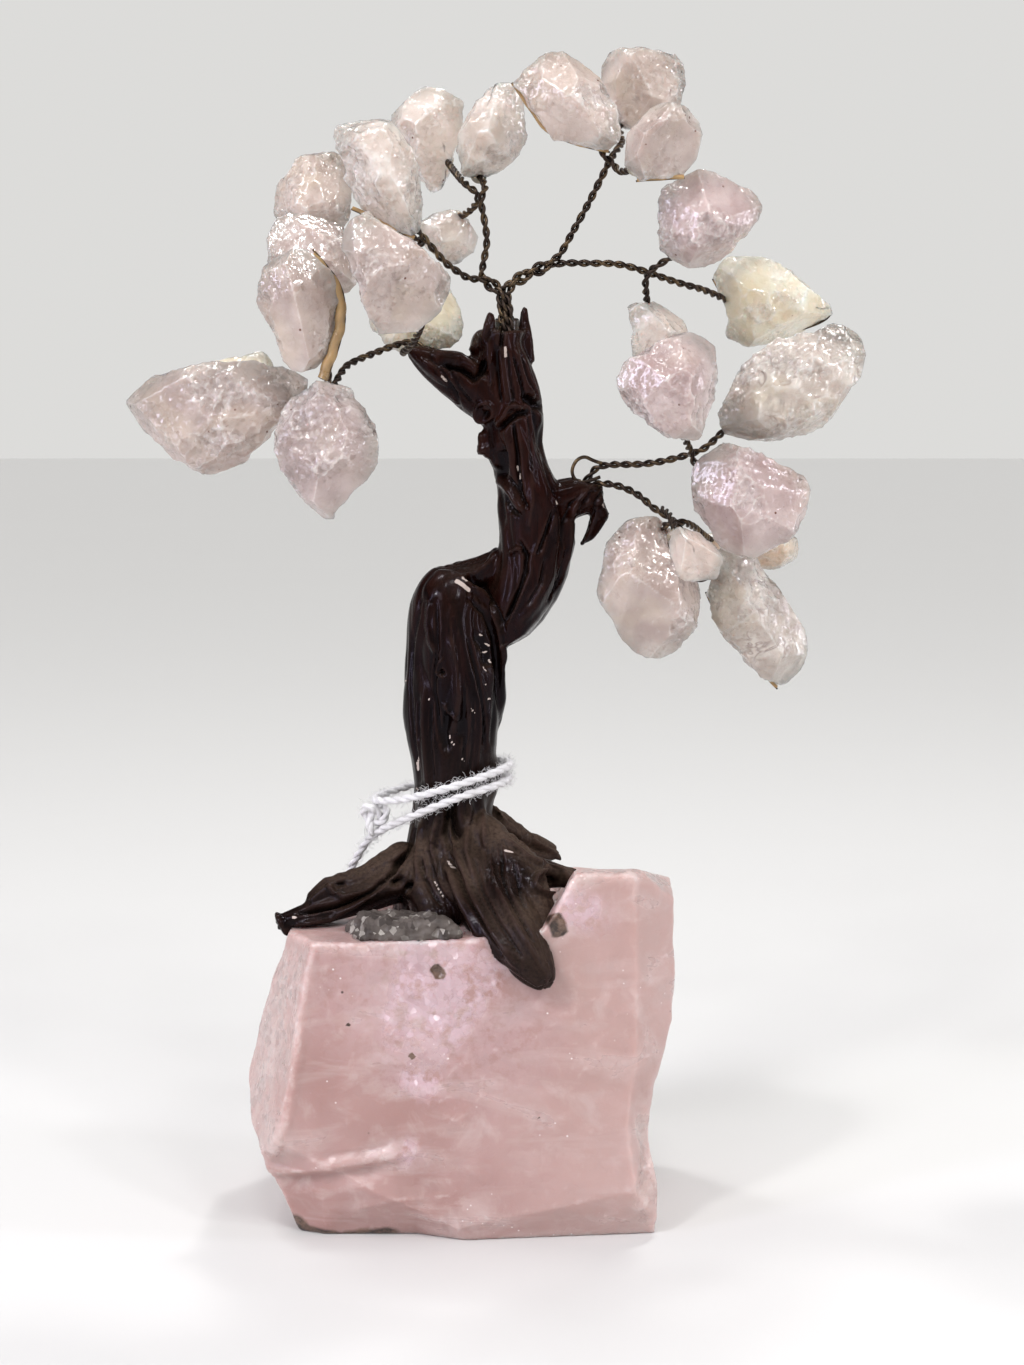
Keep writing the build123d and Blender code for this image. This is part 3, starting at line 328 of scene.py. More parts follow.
# Strokes that carve the front: height and half width in millimetres, then places in the photograph's pixels
TRUNK_RIBS = [
    (0.9, 1.1, [(410, 349), (440, 355), (462, 359), (474, 367), (478, 376)]),
    (0.6, 1.2, [(450, 352), (470, 352), (480, 344), (487, 330), (490, 318)]),
    (0.5, 0.9, [(489, 340), (490, 370), (493, 396)]),
    (0.5, 0.9, [(502, 360), (504, 380), (507, 398)]),
    (0.4, 0.8, [(516, 350), (525, 378), (535, 396)]),
    (0.9, 0.8, [(497, 424), (503, 417), (508, 408), (515, 405), (522, 409)]),
    (0.4, 0.9, [(506, 428), (509, 452), (512, 472)]),
    (1.0, 1.2, [(497, 478), (508, 490), (516, 502), (523, 512)]),
    (1.3, 1.7, [(478, 432), (480, 444), (487, 453)]),
    (0.8, 1.3, [(597, 486), (578, 499), (571, 515), (569, 540), (563, 567)]),
    (0.4, 0.7, [(549, 515), (541, 535), (534, 553)]),
    (0.7, 1.7, [(556, 503), (556, 540), (550, 575), (536, 603), (518, 626)]),
    (0.4, 0.8, [(531, 470), (533, 500), (528, 530)]),
    (0.8, 0.9, [(510, 553), (516, 549), (522, 548)]),
    (0.6, 0.6, [(529, 556), (524, 585), (516, 608), (508, 622)]),
    (0.5, 0.9, [(497, 546), (489, 563), (474, 574), (456, 578)]),
    (0.8, 1.0, [(460, 580), (480, 592), (492, 606), (499, 626), (503, 650), (505, 680), (505, 715),
                (500, 745)]),
    (0.6, 0.9, [(428, 602), (426, 625), (430, 642), (437, 655)]),
    (0.7, 0.5, [(442, 659), (437, 666), (436, 673), (442, 678)]),
    (0.6, 1.2, [(450, 640), (458, 665), (459, 700), (456, 730)]),
    (0.5, 0.7, [(444, 704), (448, 713), (457, 719)]),
    (0.5, 0.8, [(424, 690), (423, 725), (426, 765), (428, 790)]),
    (0.4, 0.6, [(480, 690), (482, 730), (478, 768)]),
    (0.6, 1.0, [(470, 800), (468, 830), (466, 850), (474, 880)]),
    (0.6, 0.9, [(436, 820), (432, 850), (440, 880), (452, 900)]),
    (0.7, 1.2, [(482, 800), (485, 840), (492, 880), (515, 925), (536, 958)]),
    (0.7, 1.2, [(455, 850), (470, 890), (490, 930), (515, 962)]),
    (0.6, 0.9, [(448, 870), (462, 905), (478, 935), (500, 965)]),
    (0.7, 0.8, [(328, 884), (333, 893), (345, 898), (363, 894), (382, 884), (400, 868)]),
    (0.6, 0.8, [(298, 924), (330, 919), (355, 905), (382, 886)]),
    (0.9, 1.0, [(277, 914), (284, 927), (296, 936)]),
    (0.5, 0.8, [(420, 822), (419, 850), (418, 875)]),
    (0.7, 0.8, [(497, 803), (512, 824), (533, 842), (560, 858), (578, 870)]),
    (0.5, 0.7, [(505, 838), (528, 856), (548, 866)]),
    (0.8, 0.6, ring((484, 412), 9, 9)),
    (0.9, 0.8, ring((551, 882), 17, 12)),
]
TRUNK_CREASES = [
    (-1.5, 1.0, [(442, 363), (462, 369), (474, 379), (481, 372), (484, 360)]),
    (-0.5, 0.6, [(430, 357), (445, 375), (455, 395), (462, 415)]),
    (-0.5, 0.5, [(446, 364), (452, 375), (462, 392), (472, 405)]),
    (-0.8, 0.6, [(496, 345), (497, 370), (499, 392), (502, 404)]),
    (-0.7, 0.5, [(508, 352), (510, 375), (514, 395), (513, 404)]),
    (-0.7, 0.5, [(515, 356), (521, 380), (526, 396)]),
    (-0.6, 0.5, [(521, 353), (531, 381), (539, 398)]),
    (-1.2, 0.8, [(503, 314), (502, 335), (500, 350)]),
    (-1.0, 1.1, [(484, 413), (487, 416)]),
    (-1.5, 0.9, [(498, 430), (508, 421), (519, 414), (529, 412)]),
    (-1.9, 1.3, [(526, 397), (535, 402), (541, 409)]),
    (-0.8, 0.8, [(535, 408), (538, 430), (541, 450)]),
    (-1.1, 0.8, [(514, 423), (517, 450), (518, 475), (521, 493)]),
    (-0.5, 0.5, [(541, 425), (544, 455), (549, 475), (556, 496)]),
    (-0.4, 0.4, [(530, 420), (531, 450), (532, 470)]),
    (-1.2, 1.7, [(503, 450), (504, 465), (499, 478)]),
    (-1.0, 0.6, [(509, 478), (520, 493), (528, 508)]),
    (-0.9, 0.9, [(503, 497), (511, 510), (518, 514)]),
    (-0.5, 0.6, [(489, 458), (495, 480), (500, 500), (503, 525)]),
    (-0.6, 0.5, [(602, 486), (589, 494), (583, 506)]),
    (-0.6, 0.5, [(603, 490), (595, 503), (593, 516)]),
    (-0.9, 0.6, [(583, 492), (571, 505), (563, 524), (561, 548)]),
    (-0.9, 0.6, [(553, 511), (546, 532), (538, 553)]),
    (-0.6, 0.5, [(566, 522), (566, 547), (561, 577), (548, 602)]),
    (-1.3, 0.8, [(520, 543), (527, 556), (526, 572), (520, 590), (512, 606), (505, 622)]),
    (-0.5, 0.5, [(545, 560), (540, 583), (528, 604)]),
    (-1.0, 0.8, [(468, 578), (485, 590), (497, 611), (503, 630)]),
    (-0.7, 0.8, [(470, 600), (485, 613), (493, 637), (496, 667), (497, 702), (493, 742)]),
    (-0.6, 0.6, [(436, 600), (437, 625), (437, 650), (434, 670), (434, 692), (438, 716), (440, 742)]),
    (-0.6, 0.6, [(419, 600), (412, 642), (410, 682), (412, 716), (415, 746), (420, 780)]),
    (-1.0, 0.6, [(440, 671), (443, 675)]),
    (-0.9, 1.4, [(448, 712), (444, 732), (447, 752)]),
    (-0.9, 1.5, [(477, 636), (486, 650), (488, 667)]),
    (-0.7, 0.6, [(469, 640), (478, 676), (484, 712), (487, 750)]),
    (-0.5, 0.6, [(453, 620), (457, 650), (463, 690), (466, 732), (463, 767)]),
    (-0.6, 1.5, [(462, 700), (460, 740)]),
    (-0.4, 0.4, [(473, 700), (474, 740), (470, 775)]),
    (-0.5, 0.4, [(431, 700), (430, 740), (433, 778)]),
    (-0.4, 0.4, [(419, 700), (419, 742)]),
    (-2.2, 2.2, [(451, 800), (451, 818), (456, 838)]),
    (-1.2, 1.0, [(446, 815), (444, 835), (449, 850)]),
    (-0.8, 0.5, [(421, 858), (424, 877), (432, 892), (441, 903)]),
    (-1.1, 0.6, [(446, 852), (452, 866), (460, 880), (465, 895), (475, 912), (488, 934), (502, 955)]),
    (-0.5, 0.5, [(487, 838), (488, 866), (494, 888)]),
    (-0.8, 0.5, [(500, 845), (503, 870), (508, 892), (520, 916), (534, 940)]),
    (-0.5, 0.5, [(513, 862), (518, 882), (526, 906)]),
    (-0.6, 0.5, [(475, 860), (482, 890), (497, 920), (520, 955)]),
    (-1.5, 0.9, [(410, 850), (397, 864), (386, 880), (370, 893), (345, 904), (300, 912)]),
    (-0.9, 0.5, [(414, 828), (410, 850), (400, 864), (390, 882)]),
    (-0.9, 1.0, [(337, 885), (345, 883)]),
    (-1.6, 1.3, [(394, 884), (400, 881)]),
    (-1.3, 1.0, [(407, 890), (411, 884)]),
    (-0.8, 0.5, [(505, 828), (521, 841), (541, 850), (560, 857)]),
    (-0.7, 0.5, [(495, 800), (510, 822), (521, 833)]),
    (-1.8, 1.9, [(547, 883), (554, 882)]),
]

# The trunk's right flank, in the photograph's pixels: how it is drawn in, and its edge at each height
FLANK_SOFTNESS = 14
FLANK_TOP = 540
FLANK_FOOT = 775
FLANK_FADE = 20
FLANK_HEIGHTS = [545, 560, 575, 590, 600, 610, 620, 635, 647, 665, 720, 760]
FLANK_EDGES = [580, 575, 570, 563, 558, 551, 544, 529, 507, 504, 504, 500]

# Chips in the lacquer: half width in millimetres, then places in the photograph's pixels
TRUNK_CHIPS = [
    (0.72, [(454, 581), (462, 586), (470, 592)]), (0.40, [(460, 579), (466, 583)]),
    (0.28, [(479, 634), (484, 636)]), (0.28, [(486, 643), (490, 646)]),
    (0.28, [(485, 653), (489, 651)]), (0.28, [(483, 666), (487, 672)]),
    (0.28, [(490, 659), (492, 664)]), (0.32, [(486, 684), (487, 686)]),
    (0.32, [(489, 699), (492, 699)]), (0.28, [(471, 707), (473, 711), (475, 714)]),
    (0.32, [(449, 735), (451, 742), (456, 747)]), (0.32, [(462, 759), (465, 763)]),
    (0.28, [(428, 698), (429, 701)]), (0.32, [(405, 680), (406, 682)]),
    (0.56, [(505, 346), (506, 358)]), (0.28, [(417, 756), (416, 763), (417, 772)]),
    (0.32, [(415, 788), (418, 790)]), (0.28, [(516, 465), (518, 476), (520, 485)]),
    (0.32, [(556, 500), (557, 505)]), (0.32, [(440, 374), (447, 382)]),
    (0.40, [(503, 850), (514, 852)]), (0.56, [(292, 917), (297, 918)]),
    (0.48, [(548, 930), (553, 945), (556, 962)]), (0.32, [(446, 860), (451, 868)]),
    (0.28, [(434, 880), (445, 899)]), (0.32, [(602, 503), (604, 508)]),
]

# Strokes on the stone: raised and sunk lines, then stains, rind, and rougher patches: those with painted
# lilac sheen, and frosted ones
STONE_RIDGES = [
    (1.2, 2.4, [(262, 1168), (295, 1168), (330, 1166), (372, 1158), (412, 1149)]),
    (-0.9, 2.8, [(290, 1180), (330, 1177), (380, 1170)]),
    (0.5, 1.8, [(310, 944), (301, 1000), (296, 1060), (286, 1120), (268, 1164)]),
    (-0.6, 1.6, [(640, 1110), (648, 1150), (640, 1200)]),
    (0.25, 1.2, [(350, 1208), (400, 1200), (450, 1196)]),
    (-0.8, 1.6, [(434, 968), (442, 976)]),
]
STONE_STAINS = [
    (2.2, [(433, 966), (439, 973), (441, 979)]), (3.2, [(552, 914), (557, 925), (561, 937)]),
    (0.9, [(410, 1054), (414, 1058)]), (0.7, [(538, 1118), (540, 1119)]),
    (0.7, [(347, 1024), (349, 1026)]),
]
STONE_RIND = [(3.4, [(286, 1214), (306, 1233), (340, 1241), (372, 1238), (402, 1234)])]
STONE_SHEEN_PATCHES = [
    (24.0, [(388, 980), (440, 992), (482, 1020)]), (6.0, [(400, 1075), (440, 1085)]),
    (4.5, [(400, 1150), (415, 1156)]), (6.0, [(560, 905), (600, 915)]),
]
STONE_FROST = [
    (9.0, [(290, 945), (270, 1040), (255, 1110), (268, 1165)]),
    (5.0, [(648, 1110), (652, 1170), (648, 1230)]),
    (3.0, [(560, 890), (610, 872), (672, 870)]),
    (2.5, [(300, 946), (380, 950), (470, 956)]),
]


def in_scene(name, data):
    """An object with this data, in the scene."""
    made = bpy.data.objects.new(name, data)
    bpy.context.collection.objects.link(made)
    return made


# Camera at the photograph's angle
camera_data = bpy.data.cameras.new("camera")
camera_data.lens = LENS
camera_data.sensor_width = SENSOR_HEIGHT
camera_data.clip_start = 0.01
camera = in_scene("camera", camera_data)
camera.location = CAMERA_PLACE
camera.rotation_euler = (CAMERA_TILT, 0.0, 0.0)
bpy.context.scene.camera = camera
bpy.context.scene.view_settings.view_transform = "Standard"


# Making nodes and meshes

def put(tree, kind, values=None, **settings):
    """One node in a tree, with its settings, and its sockets given values or links."""
    made = tree.nodes.new(kind)
    for name, value in settings.items():
        setattr(made, name, value)
    for name, value in (values or {}).items():
        if isinstance(value, bpy.types.NodeSocket):
            tree.links.new(value, made.inputs[name])
        else:
            made.inputs[name].default_value = value
    return made


def maths(tree, operation, first, second=0.0):
    """One sum in a tree."""
    return put(tree, "ShaderNodeMath", {0: first, 1: second}, operation=operation).outputs[0]


def vector_maths(tree, operation, first, second):
    """One vector sum in a tree."""
    other = "Scale" if operation == "SCALE" else 1
    made = put(tree, "ShaderNodeVectorMath", {0: first, other: second}, operation=operation)
    return made.outputs["Value" if operation == "DOT_PRODUCT" else "Vector"]


def new_piece(name, mesh, material=None):
    """A smooth-shaded piece, with its place in its mesh."""
    piece = in_scene(name, mesh)
    if material:
        mesh.materials.clear()
        mesh.materials.append(material)
    mesh.polygons.foreach_set("use_smooth", [True] * len(mesh.polygons))
    return piece


def merged_copy(node_name):
    """A CAD node's mesh with its loose triangles joined."""
    joined = bmesh.new()
    joined.from_mesh(NODES[node_name].data)
    bmesh.ops.remove_doubles(joined, verts=joined.verts, dist=0.002 * MM)
    mesh = bpy.data.meshes.new("copy")
    joined.to_mesh(mesh)
    joined.free()
    return mesh


def plain_mesh(piece):
    """What a piece's modifiers make of it, as a plain mesh. The piece itself is removed."""
    bpy.context.view_layer.update()
    shown = piece.evaluated_get(bpy.context.evaluated_depsgraph_get())
    mesh = bpy.data.meshes.new_from_object(shown)
    bpy.data.objects.remove(piece)
    return mesh


def relaxed(piece, rounds):
    """A piece with its surface smoothed that many times."""
    relax = piece.modifiers.new("relax", "SMOOTH")
    relax.factor = 0.5
    relax.iterations = rounds
    return piece


def remeshed(mesh, voxel, smoothing=0):
    """A mesh made again as an even grid of small faces."""
    piece = new_piece("remesh", mesh)
    grid = piece.modifiers.new("grid", "REMESH")
    grid.mode = "VOXEL"
    grid.voxel_size = voxel
    if smoothing:
        relaxed(piece, smoothing)
    return plain_mesh(piece)


def places_of(mesh):
    """A mesh's vertex places as an array."""
    flat = np.empty(len(mesh.vertices) * 3)
    mesh.vertices.foreach_get("co", flat)
    return flat.reshape(-1, 3)


def normals_of(mesh):
    """A mesh's vertex normals as an array."""
    flat = np.empty(len(mesh.vertices) * 3)
    mesh.vertices.foreach_get("normal", flat)
    return flat.reshape(-1, 3)


def set_places(mesh, places):
    """Moves a mesh's vertices to these places."""
    mesh.vertices.foreach_set("co", places.ravel())
    mesh.update()


def set_attribute(mesh, name, values):
    """A number on each vertex, for the material to read."""
    layer = mesh.attributes.new(name, "FLOAT", "POINT")
    layer.data.foreach_set("value", values.astype(np.float32))


def mark_edges(mesh, rounds, depth):
    """Marks how far edges stand out: 0.5 on an even surface, 1 on an edge that deep, 0 in such a crease."""
    smoothed = places_of(plain_mesh(relaxed(new_piece("smoothed", mesh.copy()), rounds)))
    stands_out = np.sum((places_of(mesh) - smoothed) * normals_of(mesh), axis=1)
    set_attribute(mesh, "edge", np.clip(0.5 + 0.5 * stands_out / depth, 0, 1))


def rising(values, start, length):
    """0 up to a start, then rising to 1 over a length."""
    return np.clip((values - start) / length, 0, 1)


def falling(values, end, length):
    """1 falling over a length to 0 at an end."""
    return np.clip((end - values) / length, 0, 1)


# Carving by strokes drawn on the photograph

def seen_at(places):
    """Where places stand in the photograph, in its pixels, and the size of a pixel there in metres."""
    focal = camera_data.lens / camera_data.sensor_width * PHOTO_HEIGHT
    away = places - np.array(camera.location)
    tilt = camera.rotation_euler[0]
    depth = away[:, 1] * math.sin(tilt) - away[:, 2] * math.cos(tilt)
    up = away[:, 1] * math.cos(tilt) + away[:, 2] * math.sin(tilt)
    across = PHOTO_WIDTH / 2 + focal * away[:, 0] / depth
    down = PHOTO_HEIGHT / 2 - focal * up / depth
    return np.stack([across, down], axis=1), depth / focal


def stroke_strength(pixels, pixel_size, points, half_width):
    """How strongly a stroke covers each place: 1 on its line, less towards its half width and its ends."""
    nearest = np.full(len(pixels), FAR)
    along = np.zeros(len(pixels))
    lengths = [math.dist(before, after) for before, after in zip(points, points[1:])]
    done = 0.0
    for before, after, length in zip(points, points[1:], lengths):
        run = np.subtract(after, before)
        share = np.clip((pixels - before) @ run / (run @ run), 0, 1)
        distance = np.linalg.norm(pixels - (before + share[:, None] * run), axis=1) * pixel_size
        closer = distance < nearest
        nearest = np.where(closer, distance, nearest)
        along = np.where(closer, (done + share * length) / sum(lengths), along)
        done += length
    across = np.clip(1 - nearest / half_width, 0, 1)
    ends = np.clip(np.minimum(along, 1 - along) * 6 + 0.35, 0, 1)
    return across * across * (3 - 2 * across) * ends


def turned_to_camera(places, normals):
    """How squarely each place is turned to the camera: 1 for square, 0 for edge on, less behind."""
    towards = np.array(camera.location) - places
    towards /= np.linalg.norm(towards, axis=1)[:, None]
    return np.sum(normals * towards, axis=1)


def carved(places, normals, strokes):
    """How far strokes of (height, half width, points) lift each place that faces the camera, in metres."""
    pixels, pixel_size = seen_at(places)
    facing = np.clip(turned_to_camera(places, normals) * 3 + 0.3, 0, 1)
    lift = np.zeros(len(places))
    for height, half_width, points in strokes:
        lift += height * MM * stroke_strength(pixels, pixel_size, points, half_width * MM)
    return lift * facing


def covered(places, normals, strokes):
    """How strongly any stroke of (half width, points) covers each place that faces the camera, 0 to 1."""
    pixels, pixel_size = seen_at(places)
    strength = np.zeros(len(places))
    for half_width, points in strokes:
        strength = np.maximum(strength, stroke_strength(pixels, pixel_size, points, half_width * MM))
    return strength * np.clip(turned_to_camera(places, normals) * 6 + 0.5, 0, 1)


# Noise that is the same on every run

def lattice(cell_numbers, seed):
    """Random numbers from 0 to 1 for whole-number cells."""
    whole = cell_numbers.astype(np.int64).astype(np.uint64)
    mixed = whole[..., 0] * np.uint64(73856093)
    mixed ^= whole[..., 1] * np.uint64(19349663)
    mixed ^= whole[..., 2] * np.uint64(83492791)
    mixed += np.uint64(seed * 7919 + 17)
    for stirrer in (0xFF51AFD7ED558CCD, 0xC4CEB9FE1A85EC53):
        mixed ^= mixed >> np.uint64(33)
        mixed *= np.uint64(stirrer)
    mixed ^= mixed >> np.uint64(33)
    return (mixed >> np.uint64(11)).astype(float) / 2.0**53


def noise_at(points, size, seed):
    """Smooth noise from -1 to 1 with features of that size."""
    scaled = points / size
    corner = np.floor(scaled)
    share = scaled - corner
    share = share * share * (3 - 2 * share)
    total = np.zeros(len(points))
    for offset in np.ndindex(2, 2, 2):
        weight = np.prod(np.where(np.array(offset) == 1, share, 1 - share), axis=1)
        total += weight * lattice(corner + offset, seed)
    return total * 2 - 1


def layered_noise(points, size, seed, layers):
    """Smooth noise with finer noise added on it."""
    return sum(noise_at(points, size / 2**layer, seed + layer) / 2**layer for layer in range(layers))


def scoops(points, size, seed):
    """Height of a surface broken into shallow scoops with sharp ridges between them, evenly about zero."""
    scaled = points / size
    home = np.floor(scaled)
    nearest = np.full(len(points), FAR)
    for offset in np.ndindex(3, 3, 3):
        cell = home + offset - 1
        away = scaled - cell - np.stack([lattice(cell, seed + axis) for axis in range(3)], axis=1)
        nearest = np.minimum(nearest, np.sum(away * away, axis=1))
    return nearest - 0.35


# Materials

def new_material(name):
    """An empty material, its tree and the place on the piece in metres."""
    material = bpy.data.materials.new(name)
    material.use_nodes = True
    tree = material.node_tree
    tree.nodes.clear()
    return material, tree, put(tree, "ShaderNodeTexCoord").outputs["Object"]


def shaded(material, values):
    """The material, with a shader of these values on its surface."""
    tree = material.node_tree
    shader = put(tree, "ShaderNodeBsdfPrincipled", values)
    put(tree, "ShaderNodeOutputMaterial", {"Surface": shader.outputs["BSDF"]})
    return material


def attribute(tree, name):
    """A number that the mesh holds on each vertex."""
    return put(tree, "ShaderNodeAttribute", attribute_name=name).outputs["Fac"]


def mapped(tree, place, **change):
    """A place moved, turned or stretched."""
    values = {"Vector": place, **{name.capitalize(): amount for name, amount in change.items()}}
    return put(tree, "ShaderNodeMapping", values).outputs["Vector"]


def grain(tree, place, size, detail=2.0, roughness=0.5, distortion=0.0):
    """Noise from 0 to 1 with features of that size."""
    values = {
        "Vector": place,
        "Scale": 1 / size,
        "Detail": detail,
        "Roughness": roughness,
        "Distortion": distortion,
    }
    return put(tree, "ShaderNodeTexNoise", values).outputs["Fac"]


def cells(tree, place, size):
    """Uneven cells of that size: distance from each one's middle, its colour and its middle's place."""
    return put(tree, "ShaderNodeTexVoronoi", {"Vector": place, "Scale": 1 / size}).outputs


def spread(tree, value, low, high, to_low=0.0, to_high=1.0):
    """A value taken from one range to another, without going past its ends."""
    values = {"Value": value, "From Min": low, "From Max": high, "To Min": to_low, "To Max": to_high}
    return put(tree, "ShaderNodeMapRange", values).outputs["Result"]


def blend_colour(tree, share, first, second):
    """One colour laid over another by a share."""
    first, second = (
        value if isinstance(value, bpy.types.NodeSocket) else (*value, 1.0) for value in (first, second)
    )
    return put(tree, "ShaderNodeMix", {"Factor": share, 6: first, 7: second}, data_type="RGBA").outputs[2]


def raised(tree, height, depth, normal=None):
    """A normal bent by a height from 0 to 1, that deep in metres."""
    values = {"Height": height, "Distance": depth, "Strength": 1.0}
    if normal:
        values["Normal"] = normal
    return put(tree, "ShaderNodeBump", values).outputs["Normal"]


def tilted_cells(tree, place, size):
    """Height in metres of a surface broken into small flat facets that each tilt their own way."""
    facets = cells(tree, place, size)
    tilt = vector_maths(tree, "SUBTRACT", facets["Color"], (0.5, 0.5, 0.5))
    away = vector_maths(tree, "SUBTRACT", place, facets["Position"])
    return vector_maths(tree, "DOT_PRODUCT", tilt, away)


def quartz(name, core, pale, warm, warm_share, clear, veined, seed):
    """Rough translucent quartz: cloudy, warm in patches, sugary, rust specks, painted crease shade, painted
    light at edges and rim.
    """
    material, tree, place = new_material(name)
    place = mapped(tree, place, location=(seed * 0.013, seed * 0.029, seed * 0.041))
    edge, crust, rim = (attribute(tree, drawn) for drawn in ("edge", "crust", "rim"))
    clouds = grain(tree, place, 8 * MM, 2.0, 0.5, 0.5)
    colour = blend_colour(tree, spread(tree, clouds, 0.36, 0.64), core, pale)
    patches = grain(tree, place, 11 * MM, 2.0, 0.5, 0.4)
    colour = blend_colour(tree, spread(tree, patches, 0.52, 0.68, 0.0, warm_share), colour, warm)
    layers = maths(tree, "SUBTRACT", grain(tree, place, 10 * MM, 3.0, 0.55, 1.2), 0.5)
    veins = spread(tree, maths(tree, "ABSOLUTE", layers), 0.035, 0.0, 0.0, veined)
    veins = maths(tree, "MULTIPLY", veins, spread(tree, clouds, 0.45, 0.6))
    colour = blend_colour(tree, veins, colour, (0.34, 0.25, 0.22))
    colour = blend_colour(tree, spread(tree, crust, 0.3, 1.0, 0.0, 0.25), colour, (0.86, 0.79, 0.76))
    # Painted shade: creases darkened
    crease_shade_colour = tuple(0.62 * part for part in core)
    colour = blend_colour(tree, spread(tree, edge, 0.42, 0.0, 0.0, 0.14), colour, crease_shade_colour)
    # Painted light: edges that stand out made paler
    colour = blend_colour(tree, spread(tree, edge, 0.60, 1.0, 0.0, 0.40), colour, (0.95, 0.91, 0.87))
    # Painted light: the thin rim coloured cream, as if lit through
    colour = blend_colour(tree, maths(tree, "MULTIPLY", rim, 0.45), colour, (0.90, 0.86, 0.78))
    rare = spread(tree, grain(tree, place, 5 * MM), 0.60, 0.64)
    specks = spread(tree, cells(tree, place, 2.2 * MM)["Distance"], 0.14, 0.08)
    colour = blend_colour(tree, maths(tree, "MULTIPLY", specks, rare), colour, (0.20, 0.085, 0.06))
    silk = mapped(tree, place, rotation=(0.5, 0.4, seed * 1.1), scale=(1.0, 1.0, 0.14))
    normal = raised(tree, grain(tree, silk, 0.5 * MM, 2.0, 0.5), 0.05 * MM)
    bend = put(tree, "ShaderNodeTexNoise", {"Vector": place, "Scale": 1 / (2.2 * MM)}).outputs["Color"]
    bent = vector_maths(tree, "ADD", place, vector_maths(tree, "SCALE", bend, 1.6 * MM))
    for size, full_crust, smooth_depth, crust_depth in (
        (1.6 * MM, 1.0, 0.12, 0.75),
        (0.65 * MM, 0.8, 0.16, 1.7),
    ):
        depth = spread(tree, crust, 0.0, full_crust, smooth_depth, crust_depth)
        normal = raised(tree, tilted_cells(tree, bent, size), depth, normal)
    clearness = spread(tree, clouds, 0.35, 0.65, clear, clear * 0.5)
    return shaded(material, {
        "Base Color": colour,
        "Roughness": spread(tree, crust, 0.0, 1.0, 0.12, 0.20),
        "IOR": 1.54,
        "Transmission Weight": maths(tree, "ADD", clearness, maths(tree, "MULTIPLY", rim, 0.30)),
        "Subsurface Weight": 1.0,
        "Subsurface Radius": (1.0, 0.86, 0.82),
        "Subsurface Scale": 2.3 * MM,
        "Coat Weight": 1.0,
        "Coat Roughness": 0.04,
        "Normal": normal,
    })


def lacquer():
    """Dark red-brown lacquered bark: violet sheen, redder above, painted shade in crevices, painted
    highlights on ridges, dust where it faces up, chips to white.
    """
    material, tree, place = new_material("lacquer")
    up_trunk = put(tree, "ShaderNodeSeparateXYZ", {"Vector": place}).outputs["Z"]
    crevice, chips, dust, edge = (attribute(tree, drawn) for drawn in ("crevice", "chips", "dust", "edge"))
    stretched = mapped(tree, place, scale=(1.0, 1.0, 0.22))
    streaks = grain(tree, stretched, 2.2 * MM, 4.0, 0.6, 0.8)
    streaked = spread(tree, streaks, 0.35, 0.7)
    dark = blend_colour(tree, streaked, (0.0012, 0.0005, 0.0005), (0.0066, 0.0018, 0.0014))
    warm = blend_colour(tree, streaked, (0.0050, 0.0013, 0.0008), (0.021, 0.0048, 0.0024))
    cloudy = maths(tree, "MULTIPLY", grain(tree, place, 16 * MM, 3.0), 0.4)
    warmer_above = maths(tree, "ADD", spread(tree, up_trunk, 100 * MM, 150 * MM, 0.0, 0.8), cloudy)
    colour = blend_colour(tree, spread(tree, warmer_above, 0.25, 1.0), dark, warm)
    # Painted shade: crevices darkened
    deep = spread(tree, crevice, 0.25, 0.85, 0.0, 0.8)
    colour = blend_colour(tree, deep, colour, (0.002, 0.0015, 0.0015))
    grit = grain(tree, place, 0.7 * MM, 4.0, 0.7)
    dusty = maths(tree, "MULTIPLY", dust, spread(tree, grit, 0.30, 0.62, 0.35, 1.0))
    colour = blend_colour(tree, dusty, colour, (0.078, 0.052, 0.037))
    # Painted highlight: ridges that stand out made paler
    colour = blend_colour(tree, spread(tree, edge, 0.60, 1.0, 0.0, 0.30), colour, (0.040, 0.020, 0.015))
    broken = spread(tree, maths(tree, "ADD", chips, maths(tree, "MULTIPLY", grit, 0.5)), 0.75, 0.85)
    colour = blend_colour(tree, broken, colour, (0.50, 0.42, 0.38))
    dull = maths(tree, "MULTIPLY", maths(tree, "MAXIMUM", dusty, broken), 0.45)
    normal = raised(tree, grain(tree, stretched, 0.6 * MM, 3.0, 0.6), 0.045 * MM)
    normal = raised(tree, grit, maths(tree, "MULTIPLY", dusty, 0.10 * MM), normal)
    return shaded(material, {
        "Base Color": colour,
        "Roughness": maths(tree, "ADD", spread(tree, streaks, 0.3, 0.7, 0.15, 0.30), dull),
        "Specular IOR Level": 0.065,
        "Specular Tint": (0.84, 0.74, 1.0, 1.0),
        "Coat Weight": spread(tree, dusty, 0.0, 0.6, 0.08, 0.0),
        "Coat Roughness": 0.10,
        "Normal": normal,
    })


def antique_wire():
    """Dark bronzed wire, rubbed to brass in places."""
    material, tree, place = new_material("antique_wire")
    rubbed = grain(tree, place, 2.4 * MM, 3.0, 0.6)
    pits = grain(tree, place, 0.3 * MM, 2.0)
    brassy = spread(tree, rubbed, 0.48, 0.72)
    return shaded(material, {
        "Base Color": blend_colour(tree, brassy, (0.038, 0.026, 0.020), (0.17, 0.115, 0.06)),
        "Metallic": 0.85,
        "Roughness": spread(tree, rubbed, 0.4, 0.7, 0.42, 0.28),
        "Normal": raised(tree, pits, 0.02 * MM),
    })


